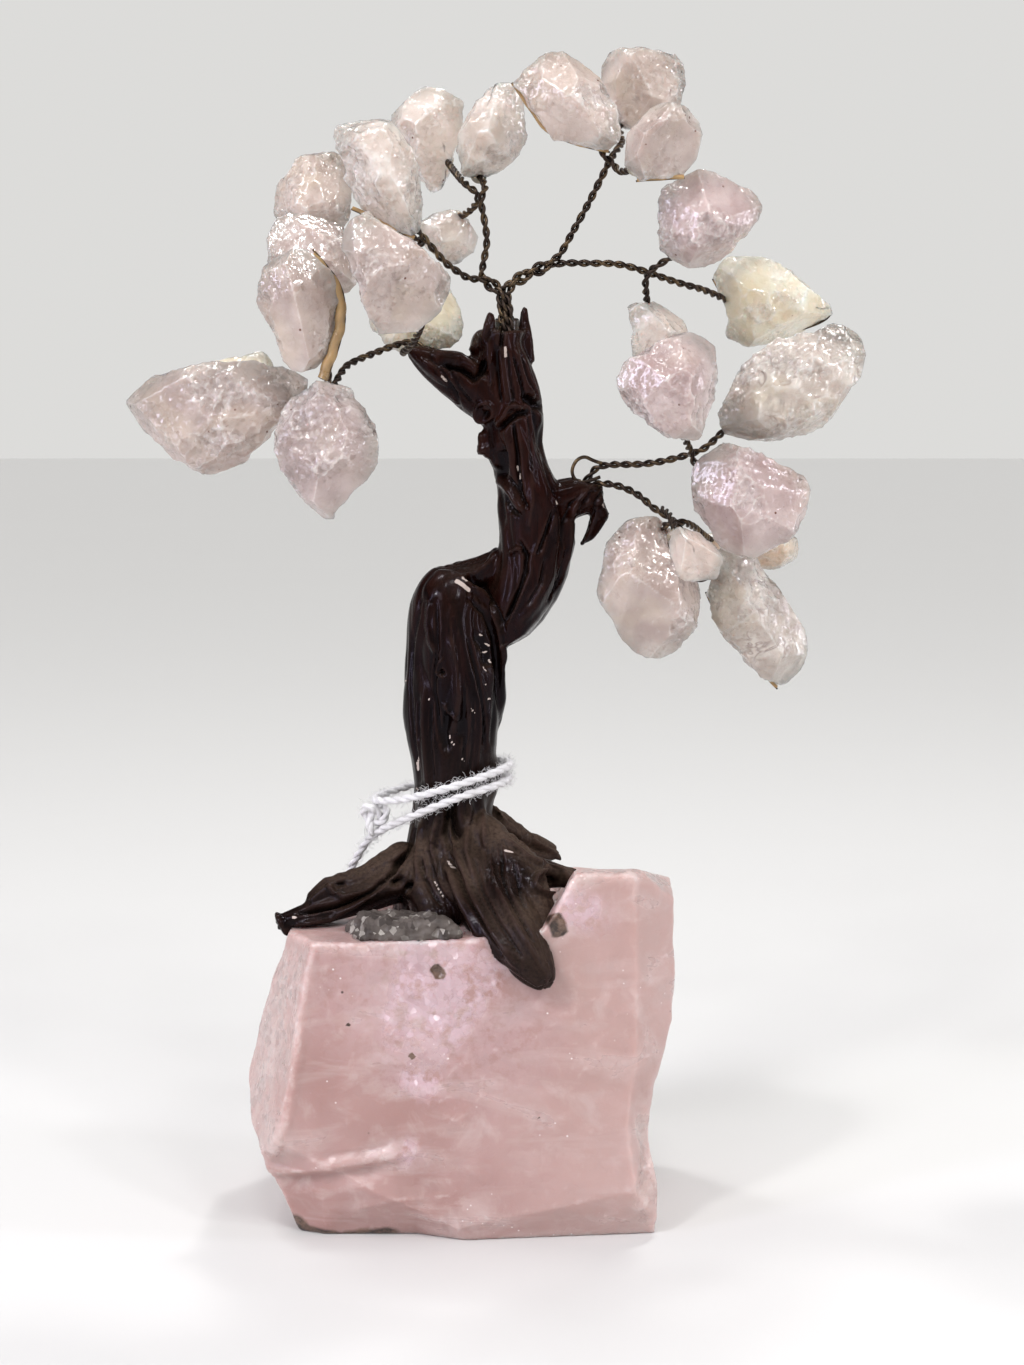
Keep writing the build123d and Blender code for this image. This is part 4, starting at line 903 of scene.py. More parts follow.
def glue(name, colour, clear):
    """Set glue: glossy, clear and a little stained."""
    material, tree, place = new_material(name)
    stain = grain(tree, place, 2.5 * MM, 3.0)
    stained = tuple(channel * 0.72 for channel in colour)
    return shaded(material, {
        "Base Color": blend_colour(tree, spread(tree, stain, 0.4, 0.7), colour, stained),
        "Roughness": spread(tree, stain, 0.3, 0.7, 0.10, 0.28),
        "IOR": 1.48,
        "Transmission Weight": clear,
        "Subsurface Weight": 0.5,
        "Subsurface Radius": (1.0, 0.7, 0.4),
        "Subsurface Scale": 1.5 * MM,
        "Normal": raised(tree, grain(tree, place, 1.1 * MM), 0.12 * MM),
    })


def putty():
    """Grey grainy putty with crumbs and small bright grains."""
    material, tree, place = new_material("putty")
    crumbs = cells(tree, place, 1.2 * MM)
    cast = put(tree, "ShaderNodeSeparateColor", {"Color": crumbs["Color"]}).outputs[0]
    soft = spread(tree, grain(tree, place, 4 * MM, 3.0), 0.35, 0.65)
    colour = blend_colour(tree, soft, (0.045, 0.034, 0.029), (0.115, 0.094, 0.083))
    colour = blend_colour(tree, spread(tree, cast, 0.78, 0.95), colour, (0.36, 0.33, 0.30))
    colour = blend_colour(tree, spread(tree, cast, 0.20, 0.05, 0.0, 0.8), colour, (0.03, 0.022, 0.018))
    return shaded(material, {
        "Base Color": colour,
        "Roughness": spread(tree, cast, 0.2, 0.9, 0.8, 0.35),
        "Normal": raised(tree, crumbs["Distance"], 0.3 * MM),
    })


def cotton():
    """White cotton, dusty in places."""
    material, tree, place = new_material("cotton")
    fibres = grain(tree, place, 0.12 * MM, 3.0, 0.7)
    shade = spread(tree, grain(tree, place, 6 * MM, 2.0), 0.5, 0.75, 0.0, 0.25)
    colour = blend_colour(tree, spread(tree, fibres, 0.35, 0.7), (0.66, 0.645, 0.66), (0.88, 0.87, 0.88))
    return shaded(material, {
        "Base Color": blend_colour(tree, shade, colour, (0.62, 0.58, 0.55)),
        "Roughness": 0.9,
        "Subsurface Weight": 0.3,
        "Subsurface Radius": (1.0, 1.0, 1.0),
        "Subsurface Scale": 0.5 * MM,
        "Sheen Weight": 0.4,
        "Normal": raised(tree, fibres, 0.05 * MM),
    })


def rose_quartz():
    """The base: soft pink quartz, veiled in white, frosty in places, painted lilac sheen on rough patches,
    painted highlights on edges, stains and rind.
    """
    material, tree, place = new_material("rose_quartz")
    edge, rind, glow, frost = (attribute(tree, drawn) for drawn in ("edge", "rind", "glow", "frost"))
    rightward = put(tree, "ShaderNodeSeparateXYZ", {"Vector": place}).outputs["X"]

    # Pink, paler to the right, with white veils and wisps
    clouds = spread(tree, grain(tree, place, 24 * MM, 3.0, 0.5, 0.4), 0.38, 0.64)
    colour = blend_colour(tree, clouds, (0.43, 0.255, 0.232), (0.50, 0.325, 0.305))
    paler = spread(tree, rightward, 6 * MM, 26 * MM, 0.0, 0.55)
    colour = blend_colour(tree, paler, colour, (0.585, 0.415, 0.385))
    layered = mapped(tree, place, rotation=(0.0, 0.35, 0.0), scale=(0.45, 1.0, 1.6))
    veils = grain(tree, layered, 9 * MM, 4.0, 0.55, 0.7)
    colour = blend_colour(tree, spread(tree, veils, 0.48, 0.70, 0.0, 0.60), colour, (0.60, 0.465, 0.445))
    wisps = spread(tree, grain(tree, place, 7 * MM, 5.0, 0.6, 0.5), 0.55, 0.70, 0.0, 0.35)
    colour = blend_colour(tree, wisps, colour, (0.68, 0.57, 0.55))

    # Frosted faces, painted lilac sheen on rough patches, and painted highlights on raised edges
    streaks = grain(tree, mapped(tree, place, scale=(1.0, 1.0, 0.2)), 3 * MM, 3.0, 0.6, 0.5)
    frosted = maths(tree, "MULTIPLY", frost, spread(tree, streaks, 0.35, 0.6, 0.45, 1.0))
    colour = blend_colour(tree, maths(tree, "MULTIPLY", frosted, 0.60), colour, (0.66, 0.56, 0.53))
    broken = grain(tree, place, 2.6 * MM, 4.0, 0.65)
    rough_sheen = maths(tree, "MULTIPLY", glow, spread(tree, broken, 0.38, 0.52))
    # Painted lilac sheen on the rough patches
    colour = blend_colour(tree, maths(tree, "MULTIPLY", rough_sheen, 0.9), colour, (0.67, 0.50, 0.54))
    patchy = spread(tree, broken, 0.46, 0.60, 0.0, 0.40)
    # Painted highlight: raised edges paler in patches, less so at the far right
    edge_highlight = maths(tree, "MULTIPLY", spread(tree, edge, 0.58, 0.9), patchy)
    edge_highlight = maths(tree, "MULTIPLY", edge_highlight, spread(tree, rightward, 27 * MM, 31 * MM, 1.0, 0.3))
    colour = blend_colour(tree, edge_highlight, colour, (0.74, 0.65, 0.63))

    # Dark specks, bright glints and brown rind
    rare = spread(tree, grain(tree, place, 13 * MM), 0.55, 0.60)
    specks = spread(tree, cells(tree, place, 5 * MM)["Distance"], 0.075, 0.04)
    colour = blend_colour(tree, maths(tree, "MULTIPLY", specks, rare), colour, (0.12, 0.07, 0.07))
    sparkling = spread(tree, grain(tree, place, 9 * MM, 3.0), 0.56, 0.62, 0.0, 0.8)
    glints = spread(tree, cells(tree, place, 1.9 * MM)["Distance"], 0.13, 0.07)
    colour = blend_colour(tree, maths(tree, "MULTIPLY", glints, sparkling), colour, (0.88, 0.82, 0.82))
    bark = blend_colour(tree, spread(tree, broken, 0.4, 0.6), (0.035, 0.018, 0.012), (0.20, 0.12, 0.085))
    barky = spread(tree, maths(tree, "ADD", rind, maths(tree, "MULTIPLY", broken, 0.5)), 0.60, 0.85)
    colour = blend_colour(tree, barky, colour, bark)

    # Small facets where it is rough
    veiled = spread(tree, veils, 0.56, 0.70, 0.0, 0.7)
    rough = maths(tree, "MAXIMUM", maths(tree, "MAXIMUM", rough_sheen, frosted), veiled)
    normal = None
    for size, rough_depth in ((3.4 * MM, 0.55), (1.1 * MM, 0.65)):
        depth = spread(tree, rough, 0.0, 1.0, 0.04, rough_depth)
        normal = raised(tree, tilted_cells(tree, place, size), depth, normal)
    return shaded(material, {
        "Base Color": colour,
        "Roughness": spread(tree, rough, 0.0, 0.8, 0.34, 0.22),
        "IOR": 1.54,
        "Transmission Weight": 0.05,
        "Subsurface Weight": 1.0,
        "Subsurface Radius": (1.0, 0.76, 0.74),
        "Subsurface Scale": 4 * MM,
        "Coat Weight": 0.25,
        "Coat Roughness": 0.12,
        "Normal": raised(tree, grain(tree, place, 0.8 * MM, 4.0, 0.6), 0.05 * MM, normal),
    })


# Leaf quartz: core, pale and warm colours, how much is warm, how clear, how veined, and its own pattern
QUARTZ_KINDS = {
    "leaf_quartz": ((0.55, 0.435, 0.39), (0.65, 0.54, 0.49), (0.72, 0.61, 0.46), 0.30, 0.30, 0.08, 1),
    # Leaf 3's kind: a darker copy of the leaf quartz, with painted shade
    "shade_darkened_quartz": ((0.46, 0.355, 0.33), (0.56, 0.455, 0.43), (0.66, 0.56, 0.45), 0.25, 0.30, 0.06, 7),
    "lilac_quartz": ((0.55, 0.415, 0.395), (0.65, 0.525, 0.505), (0.72, 0.60, 0.49), 0.30, 0.25, 0.06, 2),
    "creamy_quartz": ((0.91, 0.81, 0.62), (0.96, 0.90, 0.78), (0.88, 0.72, 0.46), 0.50, 0.25, 0.06, 3),
    "clear_quartz": ((0.72, 0.62, 0.55), (0.85, 0.78, 0.71), (0.84, 0.75, 0.59), 0.40, 0.45, 0.75, 4),
    "peach_quartz": ((0.90, 0.70, 0.52), (0.93, 0.77, 0.61), (0.86, 0.61, 0.40), 0.50, 0.25, 0.05, 5),
    "soft_quartz": ((0.66, 0.535, 0.465), (0.76, 0.645, 0.58), (0.78, 0.67, 0.52), 0.35, 0.30, 0.06, 8),
    "pale_quartz": ((0.79, 0.68, 0.60), (0.87, 0.785, 0.72), (0.84, 0.74, 0.59), 0.35, 0.25, 0.06, 6),
}
LEAVES_OF_KIND = {
    "leaf_quartz": (1, 4, 5, 7, 15, 23), "shade_darkened_quartz": (3,), "lilac_quartz": (16, 19, 21),
    "creamy_quartz": (2, 8, 17), "clear_quartz": (18, 25), "peach_quartz": (22,),
    "soft_quartz": (6, 13, 14, 24), "pale_quartz": (9, 10, 11, 12, 20),
}
LEAF_FINISHES = {}
for kind, mix in QUARTZ_KINDS.items():
    LEAF_FINISHES.update(dict.fromkeys(LEAVES_OF_KIND[kind], quartz(kind, *mix)))
ROSE = rose_quartz()
LACQUER = lacquer()
WIRE = antique_wire()
AMBER = glue("amber_glue", (0.52, 0.345, 0.165), 0.25)
BEAD_GLUE = glue("bead_glue", (0.74, 0.66, 0.52), 0.75)
DARK_GLUE = glue("dark_glue", (0.03, 0.02, 0.015), 0.0)
PUTTY = putty()
COTTON = cotton()


# Places and outlines that the CAD source also has

def from_socket(shares):
    """A place in the crown from its shares of the crown's reach."""
    return SOCKET + Vector(shares) * CROWN_REACH


def outline_places(number, corners, back, swell):
    """Places at corners of a leaf's outline, swollen, and back by a share of its thickness."""
    middle_shares, size_shares, outline = LEAVES[number]
    width, height, thickness = (share * LEAF_SIZE for share in size_shares)
    middle = from_socket(middle_shares) + Vector((0, back * thickness, 0))
    return [
        middle + Vector((right * swell * width / 2, 0, up * swell * height / 2))
        for right, up in (outline[corner] for corner in corners)
    ]


def hoop_corners(number):
    """The corners of the wire hoop behind a leaf's girdle."""
    return outline_places(number, range(len(LEAVES[number][2])), HOOP_DEPTH, HOOP_SWELL)


def twig_foot(number, corner):
    """Where a twig meets its leaf's hoop."""
    corners = hoop_corners(number)
    return (corners[corner] + corners[(corner + 1) % len(corners)]) / 2


def wound_places(name):
    """A crown wire's places where it winds with others, one rope after another."""
    places = []
    turned = math.tau * [*WOUND_INTO].index(name) / len(WOUND_INTO)
    for rope in WOUND_INTO[name]:
        route_shares, radius, pitch = ROPES[rope]
        line = line_points(smooth_line(rope, [*map(from_socket, route_shares)]))
        for before, after in zip(line, line[1:]):
            run = after - before
            across = run.cross(Vector((0, 1, 0))).normalized()
            over = across.cross(run).normalized()
            turned += math.tau * run.length / (pitch * MM)
            places.append(after + radius * MM * (math.cos(turned) * across + math.sin(turned) * over))
    return places


def twig_places(name):
    """The places that a wire's twisted part runs through."""
    for table in (MAIN_WIRES, SIDE_TWIGS):
        if name in table:
            place_shares, leaf, corner = table[name]
            wound = wound_places(name) if name in WOUND_INTO else []
            return [*wound, *map(from_socket, place_shares), twig_foot(leaf, corner)]
    first, place_shares, last = CROSS_WIRES[name]
    return [twig_foot(*first), *map(from_socket, place_shares), twig_foot(*last)]


def leaves_of(name):
    """The leaves that a wire carries."""
    if name in CROSS_WIRES:
        return [CROSS_WIRES[name][0][0], CROSS_WIRES[name][-1][0]]
    return [(MAIN_WIRES.get(name) or SIDE_TWIGS.get(name))[1]]


# Lines through places, and what grows on them

def smooth_line(name, places, resolution=10):
    """A smooth curve with these places as its control points."""
    curve = bpy.data.curves.new(name, "CURVE")
    curve.dimensions = "3D"
    spline = curve.splines.new("NURBS")
    spline.points.add(len(places) - 1)
    for point, place in zip(spline.points, places):
        point.co = (*place, 1.0)
    spline.order_u = 3
    spline.use_endpoint_u = True
    spline.resolution_u = resolution
    return curve


def line_points(curve):
    """The points along a curve with no bevel."""
    mesh = plain_mesh(in_scene("line", curve))
    points = [vertex.co.copy() for vertex in mesh.vertices]
    bpy.data.meshes.remove(mesh)
    return points


def point_curve(name, runs):
    """A curve of straight short runs, each (points, closed)."""
    curve = bpy.data.curves.new(name, "CURVE")
    curve.dimensions = "3D"
    for points, closed in runs:
        spline = curve.splines.new("POLY")
        spline.points.add(len(points) - 1)
        spline.points.foreach_set("co", [value for point in points for value in (*point, 1.0)])
        spline.use_cyclic_u = closed
    return curve


def new_tree(name, inputs):
    """A geometry tree with a geometry input and output, these named inputs and a material, and its ends."""
    tree = bpy.data.node_groups.new(name, "GeometryNodeTree")
    tree.interface.new_socket("Geometry", in_out="OUTPUT", socket_type="NodeSocketGeometry")
    tree.interface.new_socket("Geometry", in_out="INPUT", socket_type="NodeSocketGeometry")
    for socket_name, kind, value in inputs:
        made = tree.interface.new_socket(socket_name, in_out="INPUT", socket_type=kind)
        made.default_value = value
    tree.interface.new_socket("Material", in_out="INPUT", socket_type="NodeSocketMaterial")
    return tree, tree.nodes.new("NodeGroupInput").outputs, tree.nodes.new("NodeGroupOutput").inputs


def swept(tree, curve, section):
    """Curves given a round section and closed ends, as a mesh."""
    values = {"Curve": curve, "Profile Curve": section, "Fill Caps": True}
    return put(tree, "GeometryNodeCurveToMesh", values).outputs[0]


def round_section(tree, sides, radius):
    """A circle to sweep along a curve."""
    values = {"Resolution": sides, "Radius": radius}
    return put(tree, "GeometryNodeCurvePrimitiveCircle", values).outputs["Curve"]


def real_geometry(tree, geometry, given, result):
    """Sends geometry to a tree's result as real faces of the given material."""
    solid = put(tree, "GeometryNodeRealizeInstances", {"Geometry": geometry}).outputs[0]
    values = {"Geometry": solid, "Material": given["Material"]}
    tree.links.new(put(tree, "GeometryNodeSetMaterial", values).outputs[0], result[0])


def even_steps(tree, curve, step):
    """A curve with points at even steps."""
    values = {"Curve": curve, "Length": step}
    return put(tree, "GeometryNodeResampleCurve", values, mode="LENGTH").outputs[0]


def twisted_tree():
    """Open lines become strands twisted together, closed ones become a single strand."""
    tree, given, result = new_tree("twisted_strands", [
        ("Strand Diameter", "NodeSocketFloat", STRAND),
        ("Pitch", "NodeSocketFloat", PITCH),
        ("Strands", "NodeSocketInt", 2),
        ("Step", "NodeSocketFloat", 0.3 * MM),
        ("Sides", "NodeSocketInt", 10),
        ("Packing", "NodeSocketFloat", 0.5),
        ("Looseness", "NodeSocketFloat", 0.0),
        ("Seed", "NodeSocketFloat", 1.0),
    ])
    closed = put(tree, "GeometryNodeInputSplineCyclic").outputs[0]
    values = {"Geometry": given["Geometry"], "Selection": closed}
    parted = put(tree, "GeometryNodeSeparateGeometry", values, domain="CURVE").outputs
    hoop = even_steps(tree, parted["Selection"], given["Step"])
    line = even_steps(tree, parted["Inverted"], given["Step"])
    values = {"Geometry": line, "Amount": given["Strands"]}
    copies = put(tree, "GeometryNodeDuplicateElements", values, domain="SPLINE").outputs

    # Each strand's angle round the line, and how far it stands from the line, both a little uneven
    along = put(tree, "GeometryNodeSplineParameter").outputs["Length"]
    turn = maths(tree, "DIVIDE", maths(tree, "MULTIPLY", along, math.tau), given["Pitch"])
    share = maths(tree, "MULTIPLY", copies["Duplicate Index"], math.tau)
    angle = maths(tree, "ADD", turn, maths(tree, "DIVIDE", share, given["Strands"]))
    angle = maths(tree, "ADD", angle, given["Seed"])
    place = put(tree, "GeometryNodeInputPosition").outputs[0]
    values = {"Vector": place, "Scale": 1 / (5 * MM), "Detail": 1.0, "W": given["Seed"]}
    unevenness = put(tree, "ShaderNodeTexNoise", values, noise_dimensions="4D").outputs["Fac"]
    sway = maths(tree, "MULTIPLY", unevenness, maths(tree, "MULTIPLY", given["Looseness"], 6.0))
    angle = maths(tree, "ADD", angle, sway)
    looser = maths(tree, "ADD", 1.0, maths(tree, "MULTIPLY", given["Looseness"], unevenness))
    away = maths(tree, "MULTIPLY", given["Strand Diameter"], given["Packing"])
    away = maths(tree, "MULTIPLY", away, looser)

    normal = put(tree, "GeometryNodeInputNormal").outputs[0]
    tangent = put(tree, "GeometryNodeInputTangent").outputs[0]
    side = vector_maths(tree, "CROSS_PRODUCT", tangent, normal)
    over = vector_maths(tree, "SCALE", normal, maths(tree, "MULTIPLY", maths(tree, "COSINE", angle), away))
    beside = vector_maths(tree, "SCALE", side, maths(tree, "MULTIPLY", maths(tree, "SINE", angle), away))
    values = {"Geometry": copies[0], "Offset": vector_maths(tree, "ADD", over, beside)}
    moved = put(tree, "GeometryNodeSetPosition", values).outputs[0]
    parts = put(tree, "GeometryNodeJoinGeometry")
    for source in (hoop, moved):
        tree.links.new(source, parts.inputs[0])
    section = round_section(tree, given["Sides"], maths(tree, "MULTIPLY", given["Strand Diameter"], 0.5))
    real_geometry(tree, swept(tree, parts.outputs[0], section), given, result)
    return tree


def fuzz_tree():
    """Short loose fibres that stand off a strand's surface."""
    tree, given, result = new_tree("loose_fibres", [
        ("Density", "NodeSocketFloat", 3.0e6),
        ("Longest", "NodeSocketFloat", 1.6 * MM),
        ("Fibre Diameter", "NodeSocketFloat", 0.035 * MM),
        ("Seed", "NodeSocketInt", 4),
    ])
    values = {"Mesh": given["Geometry"], "Density": given["Density"], "Seed": given["Seed"]}
    spots = put(tree, "GeometryNodeDistributePointsOnFaces", values).outputs
    fibre = put(tree, "GeometryNodeCurvePrimitiveBezierSegment", {
        "Resolution": 5,
        "Start": (0, 0, 0),
        "Start Handle": (0.1, 0.1, 0.35),
        "End Handle": (0.45, 0.3, 0.5),
        "End": (0.9, 0.1, 0.55),
    }).outputs[0]
    section = round_section(tree, 3, maths(tree, "DIVIDE", given["Fibre Diameter"], given["Longest"]))
    values = {"Max": math.tau, "Seed": given["Seed"]}
    spin = put(tree, "FunctionNodeRandomValue", values, data_type="FLOAT").outputs[1]
    values = {"Min": 0.25, "Max": 1.0, "Seed": maths(tree, "ADD", given["Seed"], 9.0)}
    size = put(tree, "FunctionNodeRandomValue", values, data_type="FLOAT").outputs[1]
    values = {0: spots["Rotation"], 1: put(tree, "ShaderNodeCombineXYZ", {"Z": spin}).outputs[0]}
    turned = put(tree, "FunctionNodeRotateEuler", values, rotation_type="EULER", space="LOCAL").outputs[0]
    placed = put(tree, "GeometryNodeInstanceOnPoints", {
        "Points": spots["Points"],
        "Instance": swept(tree, fibre, section),
        "Rotation": turned,
        "Scale": maths(tree, "MULTIPLY", size, given["Longest"]),
    }).outputs[0]
    real_geometry(tree, placed, given, result)
    return tree


TWISTED = twisted_tree()
FUZZ = fuzz_tree()


def grown(name, data, tree, values):
    """The plain mesh that a tree makes of a curve or mesh."""
    base = in_scene(name, data)
    nodes = base.modifiers.new("nodes", "NODES")
    nodes.node_group = tree
    for item in tree.interface.items_tree:
        if item.item_type == "SOCKET" and item.in_out == "INPUT" and item.name in values:
            nodes[item.identifier] = values[item.name]
    mesh = plain_mesh(base)
    mesh.name = name
    return mesh


def twisted(name, runs, values):
    """The plain mesh of strands along runs of points, each (points, closed)."""
    return grown(name, point_curve(name, runs), TWISTED, values)


def add_piece(name, mesh, material, slot, *nodes):
    """A piece that rides on the body, with its finish and the CAD nodes that it stands for."""
    piece = new_piece(name, mesh, material)
    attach(piece, "root")
    if nodes:
        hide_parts(*nodes)
    return piece


# Tag string: two plies, loose fibres, and a knot with frayed ends

def knot_place(turn):
    """A place on the knot's line, which crosses itself three times."""
    right = math.sin(turn) + 2 * math.sin(2 * turn)
    up = 1.3 * (math.cos(turn) - 2 * math.cos(2 * turn))
    return KNOT_PLACE + KNOT_SIZE * Vector((right, -1.2 * math.sin(3 * turn), up))


PLIES = {
    "Strand Diameter": 1.02 * MM, "Strands": 2, "Step": 0.25 * MM, "Sides": 12, "Packing": 0.27,
    "Material": COTTON,
}
FRAYED = {"Density": 0.5e6, "Longest": 2.4 * MM, "Fibre Diameter": 0.09 * MM, "Seed": 8, "Material": COTTON}
string_line = line_points(smooth_line("string_line", [Vector(place) * MM for place in STRING_ROUTE]))
string_values = {**PLIES, "Pitch": 5.4 * MM, "Looseness": 0.1, "Seed": 2.0}
string_mesh = twisted("tag_string_plies", [(string_line, False)], string_values)
string_piece = add_piece("tag_string_plies", string_mesh, COTTON, "cotton_string", "tag_string")
fuzz_mesh = grown("tag_string_fuzz", string_mesh.copy(), FUZZ, {"Material": COTTON})
fuzz_piece = add_piece("tag_string_fuzz", fuzz_mesh, COTTON, "cotton_string")
knot_line = [knot_place(math.tau * step / KNOT_STEPS) for step in range(KNOT_STEPS - 1)]
knot_values = {**PLIES, "Pitch": 5.0 * MM, "Looseness": 0.2, "Seed": 5.0}
knot_mesh = twisted("tag_string_knot", [(knot_line, False)], knot_values)
knot_piece = add_piece("tag_string_knot", knot_mesh, COTTON, "cotton_string")
fray_mesh = grown("tag_string_fray", knot_mesh.copy(), FUZZ, FRAYED)
fray_piece = add_piece("tag_string_fray", fray_mesh, COTTON, "cotton_string")

# Twisted wires, each with a hoop round the back of its leaves
for index, name in enumerate([*MAIN_WIRES, *CROSS_WIRES, *SIDE_TWIGS]):
    runs = [(line_points(smooth_line(name, twig_places(name), 8)), False)]
    for number in leaves_of(name):
        corners = hoop_corners(number)
        hoop = line_points(smooth_line(name, corners + corners[:1], 6))
        runs.append((hoop[:-1], True))
    mesh = twisted(f"twisted_{name}", runs, {"Looseness": 0.18, "Seed": float(index), "Material": WIRE})
    add_piece(f"twisted_{name}", mesh, WIRE, "twig_wire", name)

loop_line = line_points(smooth_line("stub_loop", [*map(from_socket, STUB_LOOP)]))
loop_mesh = twisted("stub_loop", [(loop_line, False)], {"Strands": 1, "Packing": 0.0, "Material": WIRE})
add_piece("stub_loop", loop_mesh, WIRE, "twig_wire")

# Strips of glue with the hoop's wire beside them
STRIP_SWELL = 1.02
STRIP_BACK = 0.10
STRIP = {"Strands": 1, "Packing": 0.06, "Looseness": 0.4}
for number, (corners, width) in GLUE_STRIPS.items():
    across = LEAVES[number][1][0] * LEAF_SIZE
    beside = STRIP_SWELL + 0.8 * width * MM / across
    for name, swell, strand, finish, slot in (
        (f"glue_strip_{number:02d}", STRIP_SWELL, width * MM, AMBER, "clear_glue"),
        (f"edge_wire_{number:02d}", beside, 0.55 * STRAND, WIRE, "twig_wire"),
    ):
        line = line_points(smooth_line(name, outline_places(number, corners, STRIP_BACK, swell)))
        values = {**STRIP, "Strand Diameter": strand, "Material": finish}
        add_piece(name, twisted(name, [(line, False)], values), finish, slot)


# Stones

def pressed_flat(places, facings, bites):
    """Places pressed flat on to broken faces by their facings and bites, and how far each place moved."""
    moved = np.zeros(len(places))
    for facing, bite in zip(facings, bites):
        reach = places @ facing
        over = np.maximum(0.0, reach - (reach.max() - bite))
        places = places - over[:, None] * facing
        moved += over
    return places, moved


def random_facings(seed):
    """Directions of broken faces and their bites, the same each run: deep in front, shallow at the rim."""
    chance = random.Random(seed)
    facings = []
    bites = []
    for count, nearest, farthest, shallow, deep in BROKEN_FACES:
        for index in range(count):
            back = chance.uniform(nearest, farthest)
            around = math.tau * (index + chance.uniform(-0.35, 0.35)) / count
            across = math.sqrt(1 - back * back)
            facings.append(np.array((across * math.cos(around), back, across * math.sin(around))))
            bites.append(chance.uniform(shallow, deep) * MM)
    return facings, bites


def add_leaf_stone(number):
    """One rough leaf stone, broken finer than its CAD solid."""
    name = f"leaf_stone_{number:02d}"
    mesh = remeshed(merged_copy(name), LEAF_GRID)
    places = places_of(mesh)
    middle = (places.max(axis=0) + places.min(axis=0)) / 2
    ahead = falling(places[:, 1], middle[1], places[:, 1].max() - middle[1])
    fuller = np.array(LEAF_FULLNESS) + ahead[:, None] * (FRONT_FULLNESS, 0, FRONT_FULLNESS)
    places = middle + (places - middle) * fuller
    push = 1.7 * MM * scoops(places, 7.5 * MM, number * 11)
    push += 1.0 * MM * scoops(places, 3.4 * MM, number * 13 + 5)
    set_places(mesh, places)
    places, moved = pressed_flat(places + normals_of(mesh) * push[:, None], *random_facings(number))
    set_places(mesh, places)
    crust = np.clip(0.58 + 2.2 * noise_at(places, 5 * MM, number + 70), 0.10, 1)
    crust *= 1 - 0.65 * rising(moved, 0, 0.3 * MM)
    push = (0.16 + 0.46 * crust) * MM * scoops(places, 1.6 * MM, number * 17 + 3)
    set_places(mesh, places + normals_of(mesh) * push[:, None])
    mark_edges(mesh, 5, 0.07 * MM)
    set_attribute(mesh, "crust", crust)
    half_width, half_height = (places.max(axis=0) - places.min(axis=0))[[0, 2]] / 2
    outward = np.hypot((places[:, 0] - middle[0]) / half_width, (places[:, 2] - middle[2]) / half_height)
    set_attribute(mesh, "rim", rising(outward, 0.62, 0.38) ** 2)
    add_piece(f"rough_leaf_{number:02d}", mesh, LEAF_FINISHES[number], "leaf_quartz", name)


def shaped_base(places):
    """The base's places with its right side hollowed and its left foot brought forward."""
    shaped = places.copy()
    rightward = np.clip(places[:, 0] / places[:, 0].max(), 0, 1) ** 2
    at_hollow = np.exp(-(((places[:, 2] - HOLLOW_HEIGHT) / HOLLOW_SPREAD) ** 2))
    shaped[:, 0] -= HOLLOW_DEPTH * at_hollow * rightward
    leftward = falling(shaped[:, 0], -8 * MM, 18 * MM)
    near_foot = falling(places[:, 2], 15 * MM, 15 * MM)
    in_front = falling(places[:, 1], 0, 8 * MM)
    shaped[:, 1] -= FOOT_FORWARD * leftward * near_foot * in_front
    return shaped


def sloped_shoulder(before, places):
    """Places with the shoulder's top sloped back from its crest, and none below the floor."""
    on_peak = rising(before[:, 0], 15 * MM, 5 * MM) * rising(before[:, 2], 62 * MM, 6 * MM)
    places[:, 2] -= SHOULDER_SLOPE * on_peak * np.clip(before[:, 1] - CREST_BACK, 0, SHOULDER_DEPTH)
    places[:, 2] = np.maximum(places[:, 2], 0)
    return places


def add_base():
    """The base stone, broken into scoops, stroked, and coloured by strokes."""
    mesh = remeshed(merged_copy("base_stone"), BASE_GRID, 5)
    set_places(mesh, shaped_base(places_of(mesh)))
    places = places_of(mesh)
    normals = normals_of(mesh)
    # Rough patches, which the material also gives a painted lilac sheen
    glow = covered(places, normals, STONE_SHEEN_PATCHES)
    frost = covered(places, normals, STONE_FROST)
    roughness = np.clip(1.3 * noise_at(places, 15 * MM, 405) - 0.1 + 0.8 * glow + 0.8 * frost, 0.06, 1)
    push = 1.0 * MM * scoops(places, 21 * MM, 401)
    push += 0.8 * MM * roughness * scoops(places, 7 * MM, 402)
    push += 0.35 * MM * roughness * scoops(places, 2.6 * MM, 403)
    push += 0.45 * MM * layered_noise(places, 10 * MM, 404, 4)
    above_foot = rising(places[:, 2], 0, 2.5 * MM)
    top_of_shelf = rising(places[:, 2], 52 * MM, 6 * MM)
    push *= above_foot * (1 - 0.6 * top_of_shelf)
    push += carved(places, normals, STONE_RIDGES)
    set_places(mesh, sloped_shoulder(places, places + normals * push[:, None]))
    mark_edges(mesh, 8, 0.10 * MM)
    set_attribute(mesh, "glow", glow)
    set_attribute(mesh, "frost", frost)
    set_attribute(mesh, "rind", covered(places, normals, STONE_STAINS + STONE_RIND))
    add_piece("rough_base", mesh, ROSE, "rose_quartz", "base_stone")


for number in LEAVES:
    add_leaf_stone(number)
add_base()


# Trunk: the CAD limbs' shape with grooves that flow along them

def limb_stations(name):
    """A limb's middles and its mean half widths, in metres."""
    rows = np.array(LIMBS.get(name) or WEBS[name])
    middles = rows[:, :3] * (ROOT_SPREAD, ROOT_SPREAD, TRUNK_HEIGHT) + (0, 0, SHELF_HEIGHT)
    return middles, (rows[:, 3] + rows[:, 4]) / 2 * WAIST_WIDTH


